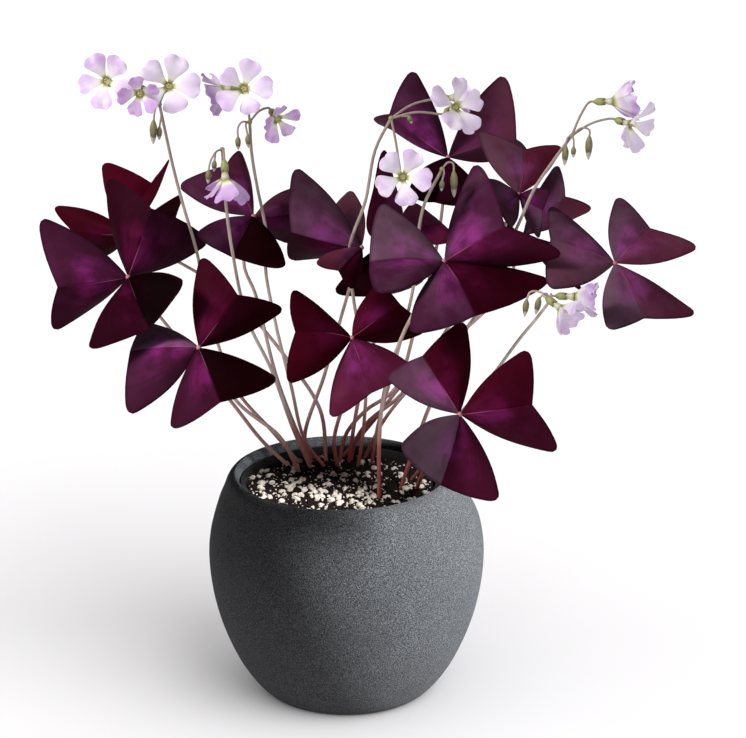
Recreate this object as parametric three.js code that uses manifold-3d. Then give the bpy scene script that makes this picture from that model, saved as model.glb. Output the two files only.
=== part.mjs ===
// A purple shamrock in a round-bellied pot.
// Millimetres, +Z up. The origin is the middle of the pot's flat underside.
// +X is to the right of a person who looks at the plant from the front, and +Y leads away from them.

import * as THREE from 'three';
import { mergeVertices } from 'three/addons/utils/BufferGeometryUtils.js';
import Module from 'manifold-3d';

const wasm = await Module();
wasm.setup();

// Driving dimensions of the pot, its liner and the soil.
const POT_HEIGHT = 118;
const POT_FLOOR = 8;
const MOUTH_SHIFT = -3;
const MOUTH_SHIFT_FROM = 92;
const LINER_WALL = 1.3;
const LINER_RIM = 114;
const LINER_RADIUS = 49.5;
const LINER_FOOT_RADIUS = 36;
const SOIL_TOP = 110.3;
const SOIL_CROWN = 2.5;
const SEAT_GAP = 0.3;
const ROUND_SIDES = 32;

// Driving dimensions of the plant.
const BLADE_THICKNESS = 0.7;
const HUB_RADIUS = 1.7;
const SIDE_BULGE = 0.085;
const TIP_EDGE_BULGE = 0.045;
const TIP_REACH = 1.05;
const BLADE_ARCH = 0.06;
const LEAF_STALK_RADIUS = 0.95;
const FLOWER_STALK_RADIUS = 0.85;
const FLOWER_STEM_RADIUS = 0.65;
const STALK_SIDES = 6;
const ROOTED_DEPTH = 8;
const PETAL_THICKNESS = 0.6;

// The plant is laid out as it is seen from the front, from 18 degrees above the level.
const VIEW_TILT = THREE.MathUtils.degToRad(18);
const EYE_DISTANCE = 1200;
const VIEW_MIDDLE = { across: 13.8, up: 165.1, toward: 53.6 };

// A place seen at so many mm across and up from the pot's foot, and so many mm nearer the eye.
function seen(across, up, toward) {
  const grow = 1 - (toward - VIEW_MIDDLE.toward) / EYE_DISTANCE;
  const x = VIEW_MIDDLE.across + (across - VIEW_MIDDLE.across) * grow;
  const rise = VIEW_MIDDLE.up + (up - VIEW_MIDDLE.up) * grow;
  const away = rise * Math.sin(VIEW_TILT) - toward * Math.cos(VIEW_TILT);
  const height = rise * Math.cos(VIEW_TILT) + toward * Math.sin(VIEW_TILT);
  return new THREE.Vector3(x, away, height);
}

// The depth along the line of sight of a place that stands so far ahead of the pot's axis.
function depthOf(up, ahead) {
  return (ahead + up * Math.sin(VIEW_TILT)) / Math.cos(VIEW_TILT);
}

// Each leaf: its hub as seen (across, up), how far ahead of the pot's axis the hub stands,
// and three leaflets. A leaflet is one lobe tip, the notch and the other lobe tip, each measured
// from the hub as across, up, toward.
const LEAVES = [
  { name: 'left', hub: [-111, 212], ahead: 5, leaflets: [
    [[-44, 30, 0], [-36, -5, 8], [-37, -27, -18]],
    [[-11, 50, -8], [12, 35, 5], [41, 17, -30]],
    [[28, -2, 33], [11, -26, 24], [-20, -36, 28]]] },
  { name: 'left_back', hub: [-110, 234], ahead: -50, leaflets: [
    [[-14, 36, -23], [11, 26, -15], [20, 38, -10]],
    [[-38, 14, -15], [-29, 1, -12], [-23, -15, -30]],
    [[26, 20, 22], [23, 8, 22], [15, -12, 26]]] },
  { name: 'upper_left', hub: [-47, 243], ahead: -30, leaflets: [
    [[-38, 15, -18], [-14, 26, -12], [-6, 33, -30]],
    [[28, 16, -32], [23, 1, -20], [18, -14, -36]],
    [[-29, -9, 33], [-11, -21, 24], [16, -26, 32]]] },
  { name: 'middle', hub: [8, 227], ahead: -20, leaflets: [
    [[-33, 41, -3], [-36, 8, 6], [-35, -7, -28]],
    [[-22, 11, -38], [-16, 18, -30], [-5, 29, -34]],
    [[-23, -8, 40], [-12, -12, 33], [-5, -21, 36]]] },
  { name: 'big_right', hub: [50, 220], ahead: 20, leaflets: [
    [[-31, 30, -8], [-38, 0, 8], [-33, -16, 34]],
    [[16, 50, -18], [31, 18, 6], [60, 3, 0]],
    [[-17, -36, 34], [16, -28, 22], [54, -9, -5]]] },
  { name: 'top', hub: [52, 273], ahead: -45, leaflets: [
    [[-17, 44, -14], [-30, 22, 4], [-37, 18, -28]],
    [[28, 42, -8], [35, 9, -8], [39, 2, -30]],
    [[-20, -19, 40], [-7, -23, 28], [16, -24, 38]]] },
  { name: 'upper_right', hub: [88, 254], ahead: -30, leaflets: [
    [[-21, 32, -2], [3, 23, -8], [22, 24, -20]],
    [[-16, 8, 22], [-10, -6, 18], [-4, -17, 24]],
    [[15, 2, 22], [12, -8, 16], [10, -22, 20]]] },
  { name: 'right', hub: [137, 219], ahead: 0, leaflets: [
    [[-32, 29, -8], [-33, 12, 4], [-33, -13, 22]],
    [[1, 34, -26], [18, 18, -12], [42, 8, -8]],
    [[-4, -33, 24], [15, -28, 14], [41, -25, -4]]] },
  { name: 'low_middle', hub: [3, 181], ahead: 20, leaflets: [
    [[-29, 25, -18], [-29, 3, 14], [-32, -23, 24]],
    [[12, 27, -34], [25, 17, -20], [37, 3, -26]],
    [[31, -15, 15], [10, -28, 16], [-11, -40, 18]]] },
  { name: 'low_left', hub: [-75, 176], ahead: 35, leaflets: [
    [[-25, 13, -30], [-35, -2, -4], [-35, -34, 4]],
    [[1, 46, -6], [20, 27, 0], [43, 19, -12]],
    [[-14, -41, 16], [11, -28, 16], [40, -16, 8]]] },
  { name: 'front', hub: [58, 142], ahead: 68, leaflets: [
    [[-37, 18, -14], [-19, 30, -6], [3, 47, -16]],
    [[34, 33, -10], [37, 5, 0], [49, -19, -14]],
    [[-30, -16, 32], [-10, -36, 10], [20, -43, 6]]] },
  { name: 'right_back', hub: [90, 233], ahead: -35, leaflets: [
    [[17, 36, -8], [22, 20, 0], [35, 13, -18]],
    [[27, -7, -26], [25, -18, 0], [30, -28, 10]],
    [[-28, 12, -20], [-26, -2, -14], [-25, -16, -24]]] },
  { name: 'middle_back', hub: [30, 234], ahead: -40, leaflets: [
    [[-10, 43, -8], [-16, 23, 12], [-19, 0, 30]],
    [[4, 16, 38], [18, 6, 24], [26, -3, 32]],
    [[-36, -29, -4], [-9, -31, 2], [10, -23, 16]]] },
];

// The leaf stalks, in the leaves' order: where each one stands in the soil (right of the axis,
// behind it), then the places that it passes on its way up, as seen across and up.
const LEAF_STALKS = [
  { root: [-30, 24], by: [[-43, 129], [-58, 148], [-85, 180]] },
  { root: [-11, 32], by: [[-13, 144], [-29, 169], [-59, 203], [-91, 223]] },
  { root: [-18, 28], by: [[-23, 129], [-35, 160], [-46, 203], [-52, 219]] },
  { root: [-17, 36], by: [[-21, 129], [-11, 162], [0, 200]] },
  { root: [17, -21], by: [[17, 129], [20, 156], [30, 185]] },
  { root: [-4, 30], by: [[0, 132], [10, 144], [25, 155], [35, 185], [46, 226]] },
  { root: [2, 35], by: [[5, 129], [12, 139], [28, 152], [48, 180], [73, 221]] },
  { root: [28, -8], by: [[38, 134], [43, 147], [63, 188], [84, 207], [112, 210, -8]] },
  { root: [-5, 24], by: [[-6, 129], [-1, 150]] },
  { root: [-25, 16], by: [[-34, 131], [-54, 147]] },
  { root: [36, -8], by: [[40, 114], [50, 129]] },
  { root: [-3, 38], by: [[15, 140], [31, 160], [80, 205]] },
  { root: [1, 31], by: [[3, 129, 4], [7, 152, 6], [19, 195, -14]] },
];

// The flower stalks: root and places passed as above, then the crown where the flower stems part
// and how far ahead of the pot's axis the crown stands. Each bloom has its throat, measured from
// the crown, the way that it faces, the length and the opening of its petals, and a turn about
// its own axis. Each bud has the places of its stem, its lower end and its length.
const FLOWER_STALKS = [
  { name: 'left', root: [-25, 31], crown: [-95, 300], ahead: -10,
    by: [[-38, 134], [-56, 155], [-70, 195], [-76, 225], [-83, 249], [-88, 268]],
    blooms: [
      { throat: [-27, 12, 2], faces: [-0.15, 0.05, 1], petal: 16, open: 75, turn: 33 },
      { throat: [-10, 5.5, 24], faces: [0.15, -0.5, 0.85], petal: 12, open: 60, turn: 20 },
      { throat: [4.8, 9.3, 8.5], faces: [0.1, 0.05, 1], petal: 16, open: 75, turn: 58 }],
    buds: [
      { by: [[-2, -2, 3]], end: [-3, -9, 3], length: 11 },
      { by: [[1, -4, 1]], end: [0, -12, 1], length: 6 }] },
  { name: 'upper_left', root: [-12, 24], crown: [-49, 291], ahead: -5,
    by: [[-21, 129], [-28, 157], [-36, 189], [-41, 217, -8], [-40, 230, -18], [-42, 243, -24],
      [-45, 257, -14], [-48, 275, -8]],
    blooms: [
      { throat: [-3, 17, 11], faces: [0, 0.05, 1], petal: 15, open: 75, turn: 60 },
      { throat: [-13, 16.5, -6], faces: [-1, -0.25, -0.2], petal: 13, open: 50, turn: 20 },
      { throat: [14, 1.5, 3], faces: [0.35, -0.5, 0.65], petal: 12, open: 62, turn: 10 }],
    buds: [
      { by: [[-4, 0, 1], [-6, -3, 1]], end: [-6, -8, 1], length: 6 },
      { by: [[-2, -1, 4]], end: [-1, -7, 5], length: 6 }] },
  { name: 'middle_left', root: [-19, 21], crown: [-63, 277], ahead: 12,
    by: [[-27, 135], [-38, 165], [-50, 190], [-58, 226, 9], [-61, 248, 6]],
    blooms: [
      { throat: [1.5, -15, 5.5], faces: [0.03, -0.95, -0.3], petal: 15, open: 49, turn: 18 }],
    buds: [
      { by: [[-3, -1, 0]], end: [-4, -6, 0], length: 5 },
      { by: [[-3, -1, 3], [-6, -6, 4]], end: [-7, -11, 4], length: 6 }] },
  { name: 'middle', root: [6, 24], crown: [23, 293], ahead: -5,
    by: [[9, 135], [10, 165], [4, 200], [1.5, 223, -6], [3, 232, -3], [10, 251], [15, 277]],
    blooms: [
      { throat: [33, 5.5, 8], faces: [0.55, 0.2, 0.8], petal: 16, open: 74, turn: 10 },
      { throat: [32.5, 10.5, -9], faces: [0.95, 0.1, -0.2], petal: 11, open: 48, turn: 30 },
      { throat: [6, -30, 10], faces: [0.05, 0, 1], petal: 15, open: 75, turn: 50 }],
    buds: [
      { by: [[4, 1, 0]], end: [9, 1, 0], length: 4 }] },
  { name: 'right', root: [9, 37], crown: [115, 284], ahead: -10,
    by: [[20, 140], [45, 170], [70, 205, 6], [87, 237, 18], [96, 257, 12], [104, 269, 4]],
    blooms: [
      { throat: [21, 17.5, -4], faces: [0.95, 0, 0.15], petal: 15, open: 40, turn: 10 },
      { throat: [30, 6, 12], faces: [0.75, -0.3, 0.6], petal: 15, open: 60, turn: 40 }],
    buds: [
      { by: [[5, 4, 3], [9, 3, 4]], end: [9, -1, 4], length: 11 },
      { by: [[1, -2, 3]], end: [1, -6, 3], length: 5 },
      { by: [[-2, -1, 1]], end: [-3, -6, 1], length: 9 }] },
  { name: 'low_right', root: [34, 6], crown: [104, 200], ahead: 38,
    by: [[43, 121], [51.5, 134], [63, 148], [77, 165], [88, 180], [97.5, 191.5]],
    blooms: [
      { throat: [12.5, 2, -5], faces: [0.95, -0.05, 0.25], petal: 13, open: 45, turn: 10 },
      { throat: [5.5, -4, 11], faces: [0.7, -0.55, 0.35], petal: 12, open: 50, turn: 0 }],
    buds: [
      { by: [[-4, 4, 1], [-10, 4.5, 1]], end: [-12, 0, 1], length: 8 },
      { by: [[-3, 3.5, 3]], end: [-5.5, 1, 4], length: 8 }] },
  { name: 'short', root: [13, 28], crown: [49, 267], ahead: 3,
    by: [[16, 135], [24, 165], [34, 205, -4], [39, 246, -8]],
    blooms: [],
    buds: [
      { by: [[3, 3.5, 1], [5.5, 3, 1]], end: [6, -2, 1], length: 12 },
      { by: [[1, -1, 3]], end: [0, -6, 4], length: 5 }] },
];

// A closed solid from a geometry whose corners are merged.
function solidOf(geometry) {
  const bare = geometry.clone();
  bare.deleteAttribute('normal');
  bare.deleteAttribute('uv');
  const merged = mergeVertices(bare, 1e-4);
  return new wasm.Manifold(new wasm.Mesh({
    numProp: 3,
    vertProperties: new Float32Array(merged.attributes.position.array),
    triVerts: new Uint32Array(merged.index.array),
  }));
}

// A geometry from a solid.
function geometryOf(solid) {
  const mesh = solid.getMesh();
  const geometry = new THREE.BufferGeometry();
  geometry.setAttribute('position', new THREE.BufferAttribute(new Float32Array(mesh.vertProperties), 3));
  geometry.setIndex(new THREE.BufferAttribute(new Uint32Array(mesh.triVerts), 1));
  return geometry;
}

// A geometry from corners and triangles, turned outwards where its volume is negative.
function closedGeometry(corners, triangles) {
  let volume = 0;
  for (const [a, b, c] of triangles) {
    volume += corners[a].dot(new THREE.Vector3().crossVectors(corners[b], corners[c]));
  }
  const geometry = new THREE.BufferGeometry();
  geometry.setFromPoints(corners);
  geometry.setIndex(triangles.flatMap(([a, b, c]) => (volume > 0 ? [a, b, c] : [a, c, b])));
  return geometry;
}

// Rounds the far corner of a half leaflet, where both shares are near 1.
function roundedShares(along, aside) {
  const fromAlong = 0.9;
  const fromAside = 0.78;
  const a = Math.max(0, (along - fromAlong) / (1 - fromAlong));
  const b = Math.max(0, (aside - fromAside) / (1 - fromAside));
  if (a === 0 || b === 0) {
    return [along, aside];
  }
  return [
    fromAlong + (1 - fromAlong) * a * Math.sqrt(1 - b * b / 2),
    fromAside + (1 - fromAside) * b * Math.sqrt(1 - a * a / 2),
  ];
}

// A place on a half leaflet: "along" runs from the hub to the outer edge, "aside" from the midrib
// to the side edge. The side edge bulges outwards and the outer edge bulges between tip and notch.
function halfPlace(hub, notch, tip, upNormal, along, aside) {
  const [t, s] = roundedShares(along, aside);
  const toNotch = notch.clone().sub(hub);
  const toTip = tip.clone().sub(hub).multiplyScalar(TIP_REACH);
  const edge = toTip.clone().sub(toNotch);
  const face = new THREE.Vector3().crossVectors(toNotch, toTip).normalize();
  const sideOut = new THREE.Vector3().crossVectors(face, toTip).normalize();
  if (sideOut.dot(toNotch) > 0) {
    sideOut.negate();
  }
  const farOut = new THREE.Vector3().crossVectors(face, edge).normalize();
  if (farOut.dot(toNotch) < 0) {
    farOut.negate();
  }
  if (face.dot(upNormal) < 0) {
    face.negate();
  }
  const place = hub.clone();
  place.addScaledVector(toNotch, t * (1 - s));
  place.addScaledVector(toTip, t * s);
  place.addScaledVector(sideOut, s * SIDE_BULGE * toTip.length() * Math.sin(Math.PI * t));
  place.addScaledVector(farOut, t * TIP_EDGE_BULGE * edge.length() * Math.sin(Math.PI * s));
  const rise = BLADE_ARCH * toTip.length() * Math.sin(Math.PI * Math.min(1, t));
  place.addScaledVector(upNormal, rise * (1 - s) * 0.6);
  place.addScaledVector(face, rise * (0.8 * Math.sin(Math.PI * Math.min(1, s)) - 0.5 * s * s));
  return place;
}

// One leaflet as a closed blade: both faces carry the same triangles.
function leafletGeometry(hub, tipA, notch, tipB) {
  const alongSteps = [0, 0.3, 0.6, 0.87, 1];
  const asideSteps = [-1, -0.66, 0, 0.66, 1];
  const faceOf = (tip) => new THREE.Vector3()
    .crossVectors(notch.clone().sub(hub), tip.clone().sub(hub)).normalize();
  const faceA = faceOf(tipA);
  const faceB = faceOf(tipB).negate();
  const upNormal = faceA.clone().add(faceB).normalize();
  if (upNormal.z < 0.2 * upNormal.y) {
    upNormal.negate();
  }
  const start = notch.clone().sub(hub).setLength(0.5 * HUB_RADIUS);
  const places = [hub.clone().add(start)];
  const at = (row, column) => (row === 0 ? 0 : 1 + (row - 1) * asideSteps.length + column);
  for (const along of alongSteps.slice(1)) {
    for (const aside of asideSteps) {
      const tip = aside < 0 ? tipA : tipB;
      places.push(halfPlace(hub, notch, tip, upNormal, along, Math.abs(aside)));
    }
  }
  const face = [];
  const lastRow = alongSteps.length - 1;
  const lastColumn = asideSteps.length - 1;
  for (let column = 0; column < lastColumn; column += 1) {
    face.push([0, at(1, column), at(1, column + 1)]);
    for (let row = 1; row < lastRow; row += 1) {
      const quad = [at(row, column), at(row + 1, column), at(row + 1, column + 1), at(row, column + 1)];
      if (asideSteps[column] < 0) {
        face.push([quad[0], quad[1], quad[2]], [quad[0], quad[2], quad[3]]);
      } else {
        face.push([quad[0], quad[1], quad[3]], [quad[1], quad[2], quad[3]]);
      }
    }
  }
  return thickened(places, face, upNormal, BLADE_THICKNESS);
}

// A thin sheet made solid: each corner is doubled below the sheet along the mean of the faces at it.
function thickened(places, face, upNormal, thickness) {
  const below = places.map(() => new THREE.Vector3());
  const largest = places.map(() => []);
  for (const [a, b, c] of face) {
    const ab = places[b].clone().sub(places[a]);
    const ac = places[c].clone().sub(places[a]);
    const normal = ab.cross(ac).normalize();
    for (const corner of [a, b, c]) {
      below[corner].add(normal);
      largest[corner].push(normal);
    }
  }
  const turn = below[0].dot(upNormal) < 0 ? 1 : -1;
  const corners = [...places];
  places.forEach((place, i) => {
    const mean = below[i].normalize();
    const lean = Math.min(...largest[i].map((normal) => normal.dot(mean)));
    corners.push(place.clone().addScaledVector(mean, turn * thickness / Math.max(0.6, lean)));
  });
  const count = places.length;
  const edges = new Map();
  for (const triangle of face) {
    triangle.forEach((from, i) => {
      const to = triangle[(i + 1) % 3];
      if (edges.has(`${to}_${from}`)) {
        edges.delete(`${to}_${from}`);
      } else {
        edges.set(`${from}_${to}`, [from, to]);
      }
    });
  }
  const triangles = [...face];
  for (const [a, b, c] of face) {
    triangles.push([a + count, c + count, b + count]);
  }
  for (const [from, to] of edges.values()) {
    triangles.push([from, to + count, to], [from, from + count, to + count]);
  }
  return closedGeometry(corners, triangles);
}

// A round rod along a row of places, with a radius at each, closed by flat ends.
function rodGeometry(places, radii, sides) {
  const corners = [];
  const triangles = [];
  let across = new THREE.Vector3(1, 0.2, 0.1).normalize();
  places.forEach((place, i) => {
    const before = places[Math.max(0, i - 1)];
    const after = places[Math.min(places.length - 1, i + 1)];
    const run = after.clone().sub(before).normalize();
    across = across.clone().addScaledVector(run, -across.dot(run)).normalize();
    const other = new THREE.Vector3().crossVectors(run, across);
    for (let k = 0; k < sides; k += 1) {
      const angle = 2 * Math.PI * k / sides;
      corners.push(place.clone()
        .addScaledVector(across, radii[i] * Math.cos(angle))
        .addScaledVector(other, radii[i] * Math.sin(angle)));
    }
  });
  for (let i = 0; i < places.length - 1; i += 1) {
    for (let k = 0; k < sides; k += 1) {
      const next = (k + 1) % sides;
      const a = i * sides + k;
      const b = i * sides + next;
      triangles.push([a, b, b + sides], [a, b + sides, a + sides]);
    }
  }
  const last = (places.length - 1) * sides;
  for (let k = 1; k < sides - 1; k += 1) {
    triangles.push([0, k + 1, k], [last, last + k, last + k + 1]);
  }
  return closedGeometry(corners, triangles);
}

// A smooth curve through places, sampled evenly.
function smoothRun(places, steps) {
  const curve = new THREE.CatmullRomCurve3(places, false, 'centripetal');
  return curve.getSpacedPoints(steps);
}

function material(color, roughness) {
  return new THREE.MeshStandardMaterial({ color, roughness, metalness: 0 });
}

function named(name, geometry, look) {
  const mesh = new THREE.Mesh(geometry, look);
  mesh.name = name;
  return mesh;
}

const group = new THREE.Group();

// The mouth of the pot sits a little left of the belly's axis.
function shiftMouth(geometry) {
  const position = geometry.attributes.position;
  for (let i = 0; i < position.count; i += 1) {
    const share = THREE.MathUtils.smoothstep(position.getZ(i), MOUTH_SHIFT_FROM, POT_HEIGHT);
    position.setX(i, position.getX(i) + MOUTH_SHIFT * share);
  }
  return geometry;
}

// A body of revolution about +Z from a closed profile of radius and height.
function turned(profile, sides) {
  const points = profile.map(([radius, height]) => new THREE.Vector2(radius, height));
  const geometry = new THREE.LatheGeometry(points, sides);
  geometry.rotateX(Math.PI / 2);
  return geometry;
}

const POT_PROFILE = [
  [0, 0], [42, 0], [44.5, 1.3], [49.5, 6.5], [56, 16], [61.8, 28], [66.5, 41], [69.8, 55],
  [71.5, 70], [71.2, 82], [68.8, 94], [64.5, 104], [61, 110], [58.5, 115], [56.5, 117.5],
  [54.5, POT_HEIGHT], [53, 116.5], [52.8, 112], [60, 99], [65.5, 82], [65.8, 68],
  [62, 47], [52.5, 23], [43, 10.5], [38, POT_FLOOR], [0, POT_FLOOR],
];
group.add(named('pot', shiftMouth(geometryOf(solidOf(turned(POT_PROFILE, ROUND_SIDES)))),
  material(0x3a3a3d, 0.8)));

// The nursery liner stands on the pot's floor, and its rim shows a little below the lip.
const linerFoot = POT_FLOOR + SEAT_GAP;
const linerFloor = linerFoot + LINER_WALL;
const LINER_PROFILE = [
  [0, linerFoot], [LINER_FOOT_RADIUS - 4, linerFoot], [LINER_RADIUS, LINER_RIM - 8],
  [LINER_RADIUS + 2, LINER_RIM - 7], [LINER_RADIUS + 2, LINER_RIM],
  [LINER_RADIUS, LINER_RIM], [LINER_RADIUS - LINER_WALL, LINER_RIM - 8],
  [LINER_FOOT_RADIUS - 4 - LINER_WALL, linerFloor], [0, linerFloor],
];
const linerGeometry = turned(LINER_PROFILE, ROUND_SIDES);
linerGeometry.translate(MOUTH_SHIFT, 0, 0);
group.add(named('liner', linerGeometry, material(0x2b2d30, 0.6)));

// The axes of the view, for directions that are given as across, up and toward.
const UP_SEEN = new THREE.Vector3(0, Math.sin(VIEW_TILT), Math.cos(VIEW_TILT));
const TOWARD_SEEN = new THREE.Vector3(0, -Math.cos(VIEW_TILT), Math.sin(VIEW_TILT));

function direction([across, up, toward]) {
  const way = new THREE.Vector3(across, 0, 0);
  return way.addScaledVector(UP_SEEN, up).addScaledVector(TOWARD_SEEN, toward).normalize();
}

function soilHeight(x, y) {
  const out = Math.hypot(x - MOUTH_SHIFT, y) / LINER_RADIUS;
  return SOIL_TOP + SOIL_CROWN * (1 - out * out);
}

// The curve of a stalk from its root to its end. The depth changes evenly with the height seen.
function stalkRun(root, by, end, steps) {
  const foot = new THREE.Vector3(root[0], root[1], soilHeight(root[0], root[1]));
  const footUp = foot.dot(UP_SEEN);
  const footToward = foot.dot(TOWARD_SEEN);
  const endUp = end.dot(UP_SEEN);
  const endToward = end.dot(TOWARD_SEEN);
  const places = by.map(([across, up, nearer = 0]) => {
    const share = THREE.MathUtils.clamp((up - footUp) / (endUp - footUp), 0, 1);
    return seen(across, up, THREE.MathUtils.lerp(footToward, endToward, share) + nearer);
  });
  const run = smoothRun([foot, ...places, end], steps);
  const lean = run[1].clone().sub(run[0]).normalize();
  const bottom = foot.clone().addScaledVector(lean, -ROOTED_DEPTH);
  return [bottom, ...run];
}

const holes = [];

// A plain hole in the soil around the buried end of a stalk.
function addHole(run, radius) {
  const lean = run[1].clone().sub(run[0]).normalize();
  const bottom = run[0].clone().addScaledVector(lean, -SEAT_GAP);
  const top = run[1].clone().addScaledVector(lean, 5);
  const clear = (radius + SEAT_GAP) / Math.cos(Math.PI / STALK_SIDES);
  holes.push(rodGeometry([bottom, top], [clear, clear], STALK_SIDES));
}

// The leaves: three leaflets and the small knob that joins them.
const ball = (place, radius, detail) => {
  const geometry = new THREE.IcosahedronGeometry(radius, detail);
  geometry.translate(place.x, place.y, place.z);
  return geometry;
};

LEAVES.forEach((leaf, i) => {
  const hubToward = depthOf(leaf.hub[1], leaf.ahead);
  const placeOf = ([across, up, toward]) => (
    seen(leaf.hub[0] + across, leaf.hub[1] + up, hubToward + toward));
  const hub = placeOf([0, 0, 0]);
  let blade = solidOf(ball(hub, HUB_RADIUS, 0));
  for (const [tipA, notch, tipB] of leaf.leaflets) {
    blade = blade.add(solidOf(leafletGeometry(hub, placeOf(tipA), placeOf(notch), placeOf(tipB))));
  }
  group.add(named(`leaf_${leaf.name}`, geometryOf(blade), material(0x4a2a44, 0.6)));

  const { root, by } = LEAF_STALKS[i];
  const whole = stalkRun(root, by, hub, 9);
  const arriving = whole[whole.length - 1].clone().sub(whole[whole.length - 2]).normalize();
  whole[whole.length - 1].addScaledVector(arriving, -(HUB_RADIUS + SEAT_GAP + 0.1));
  const radii = whole.map((place, k) => LEAF_STALK_RADIUS * (1.15 - 0.3 * k / whole.length));
  addHole(whole, radii[0]);
  group.add(named(`leaf_stalk_${leaf.name}`, rodGeometry(whole, radii, STALK_SIDES),
    material(0x8a5a50, 0.6)));
});

// The five petals of a bloom: one thin sheet that is joined at the throat and parted further out,
// each petal spreading from the axis and rounding off at its end.
function petalsGeometry(throat, axis, length, open, turn) {
  const across = new THREE.Vector3(1, 0.1, 0.2);
  across.addScaledVector(axis, -across.dot(axis)).normalize();
  const sideways = new THREE.Vector3().crossVectors(axis, across);
  const at = (angle, out, rise, aside) => throat.clone()
    .addScaledVector(axis, rise)
    .addScaledVector(across, out * Math.cos(angle) - aside * Math.sin(angle))
    .addScaledVector(sideways, out * Math.sin(angle) + aside * Math.cos(angle));
  const places = [throat.clone().addScaledVector(axis, -1)];
  for (let k = 0; k < 10; k += 1) {
    places.push(at(turn + Math.PI * k / 5, 2.1, 0, 0));
  }
  const face = [];
  for (let k = 0; k < 10; k += 1) {
    face.push([0, 1 + k, 1 + (k + 1) % 10]);
  }
  for (let petal = 0; petal < 5; petal += 1) {
    const angle = turn + 2 * Math.PI * petal / 5;
    const first = places.length;
    for (const [along, wide, drawnIn] of [[0.58, 1, 0], [1, 0.84, 0.08]]) {
      const out = 2.1 + (length - 2.1) * Math.sin(open) * along;
      const rise = length * (Math.cos(open) * along + 0.1 * Math.sin(Math.PI * along));
      const half = 0.385 * length * Math.sin(open) * wide;
      places.push(at(angle, out - drawnIn * length, rise + 0.05 * length, -half));
      places.push(at(angle, out, rise, 0));
      places.push(at(angle, out - drawnIn * length, rise + 0.05 * length, half));
    }
    const base = [1 + (2 * petal + 9) % 10, 1 + 2 * petal, 1 + (2 * petal + 1) % 10];
    const rows = [base, [first, first + 1, first + 2], [first + 3, first + 4, first + 5]];
    for (let row = 0; row < 2; row += 1) {
      for (let column = 0; column < 2; column += 1) {
        const [a, b] = [rows[row][column], rows[row][column + 1]];
        const [c, d] = [rows[row + 1][column], rows[row + 1][column + 1]];
        face.push([a, c, d], [a, d, b]);
      }
    }
  }
  return thickened(places, face, axis, PETAL_THICKNESS);
}

const CUP_LENGTH = 5;
const TUBE_LENGTH = 4.5;

// The flower stalks, with their cups and buds, and the blooms in front of the cups.
let bloomCount = 0;
for (const stalk of FLOWER_STALKS) {
  const crownToward = depthOf(stalk.crown[1], stalk.ahead);
  const placeOf = ([across, up, toward]) => (
    seen(stalk.crown[0] + across, stalk.crown[1] + up, crownToward + toward));
  const crown = placeOf([0, 0, 0]);
  const run = stalkRun(stalk.root, stalk.by, crown, 11);
  const radii = run.map((place, k) => FLOWER_STALK_RADIUS * (1.15 - 0.25 * k / run.length));
  addHole(run, radii[0]);
  let green = solidOf(rodGeometry(run, radii, STALK_SIDES));
  green = green.add(solidOf(ball(crown, 1.4, 0)));
  for (const { throat, faces, petal, open, turn } of stalk.blooms) {
    const throatPlace = placeOf(throat);
    const axis = direction(faces);
    const cupTop = throatPlace.clone().addScaledVector(axis, -TUBE_LENGTH);
    const cupFoot = cupTop.clone().addScaledVector(axis, -CUP_LENGTH);
    const before = cupFoot.clone().addScaledVector(axis, -2);
    const bend = crown.clone().lerp(before, 0.5).addScaledVector(new THREE.Vector3(0, 0, 1), 2);
    const stem = smoothRun([crown, bend, before, cupFoot], 3);
    green = green.add(solidOf(rodGeometry(stem, stem.map(() => FLOWER_STEM_RADIUS), 4)));
    const cupMiddle = cupFoot.clone().lerp(cupTop, 0.4);
    green = green.add(solidOf(rodGeometry([cupFoot, cupMiddle, cupTop], [0.9, 1.9, 1.7], 6)));

    const tubeFoot = cupTop.clone().addScaledVector(axis, SEAT_GAP);
    const tubeTop = throatPlace.clone().addScaledVector(axis, -0.8);
    const petals = petalsGeometry(throatPlace, axis, petal, THREE.MathUtils.degToRad(open),
      THREE.MathUtils.degToRad(turn));
    const tube = rodGeometry([tubeFoot, tubeTop], [1.3, 2], 5);
    const bloom = solidOf(petals).add(solidOf(tube));
    bloomCount += 1;
    group.add(named(`bloom_${stalk.name}_${bloomCount}`, geometryOf(bloom), material(0xd7b4e1, 0.6)));
  }
  for (const { by, end, length } of stalk.buds) {
    const endPlace = placeOf(end);
    const stem = smoothRun([crown, ...by.map(placeOf), endPlace], 3);
    green = green.add(solidOf(rodGeometry(stem, stem.map(() => FLOWER_STEM_RADIUS), 4)));
    const down = new THREE.Vector3(0, 0, -1).lerp(stem[3].clone().sub(stem[2]).normalize(), 0.3).normalize();
    const at = (share) => endPlace.clone().addScaledVector(down, share * length);
    const thick = 0.9 + 0.09 * length;
    green = green.add(solidOf(rodGeometry(
      [at(-0.08), at(0.25), at(0.65), at(1)], [0.6, thick, thick * 0.8, 0.4], 5)));
  }
  group.add(named(`flower_stalk_${stalk.name}`, geometryOf(green), material(0x96906e, 0.6)));
}

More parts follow.
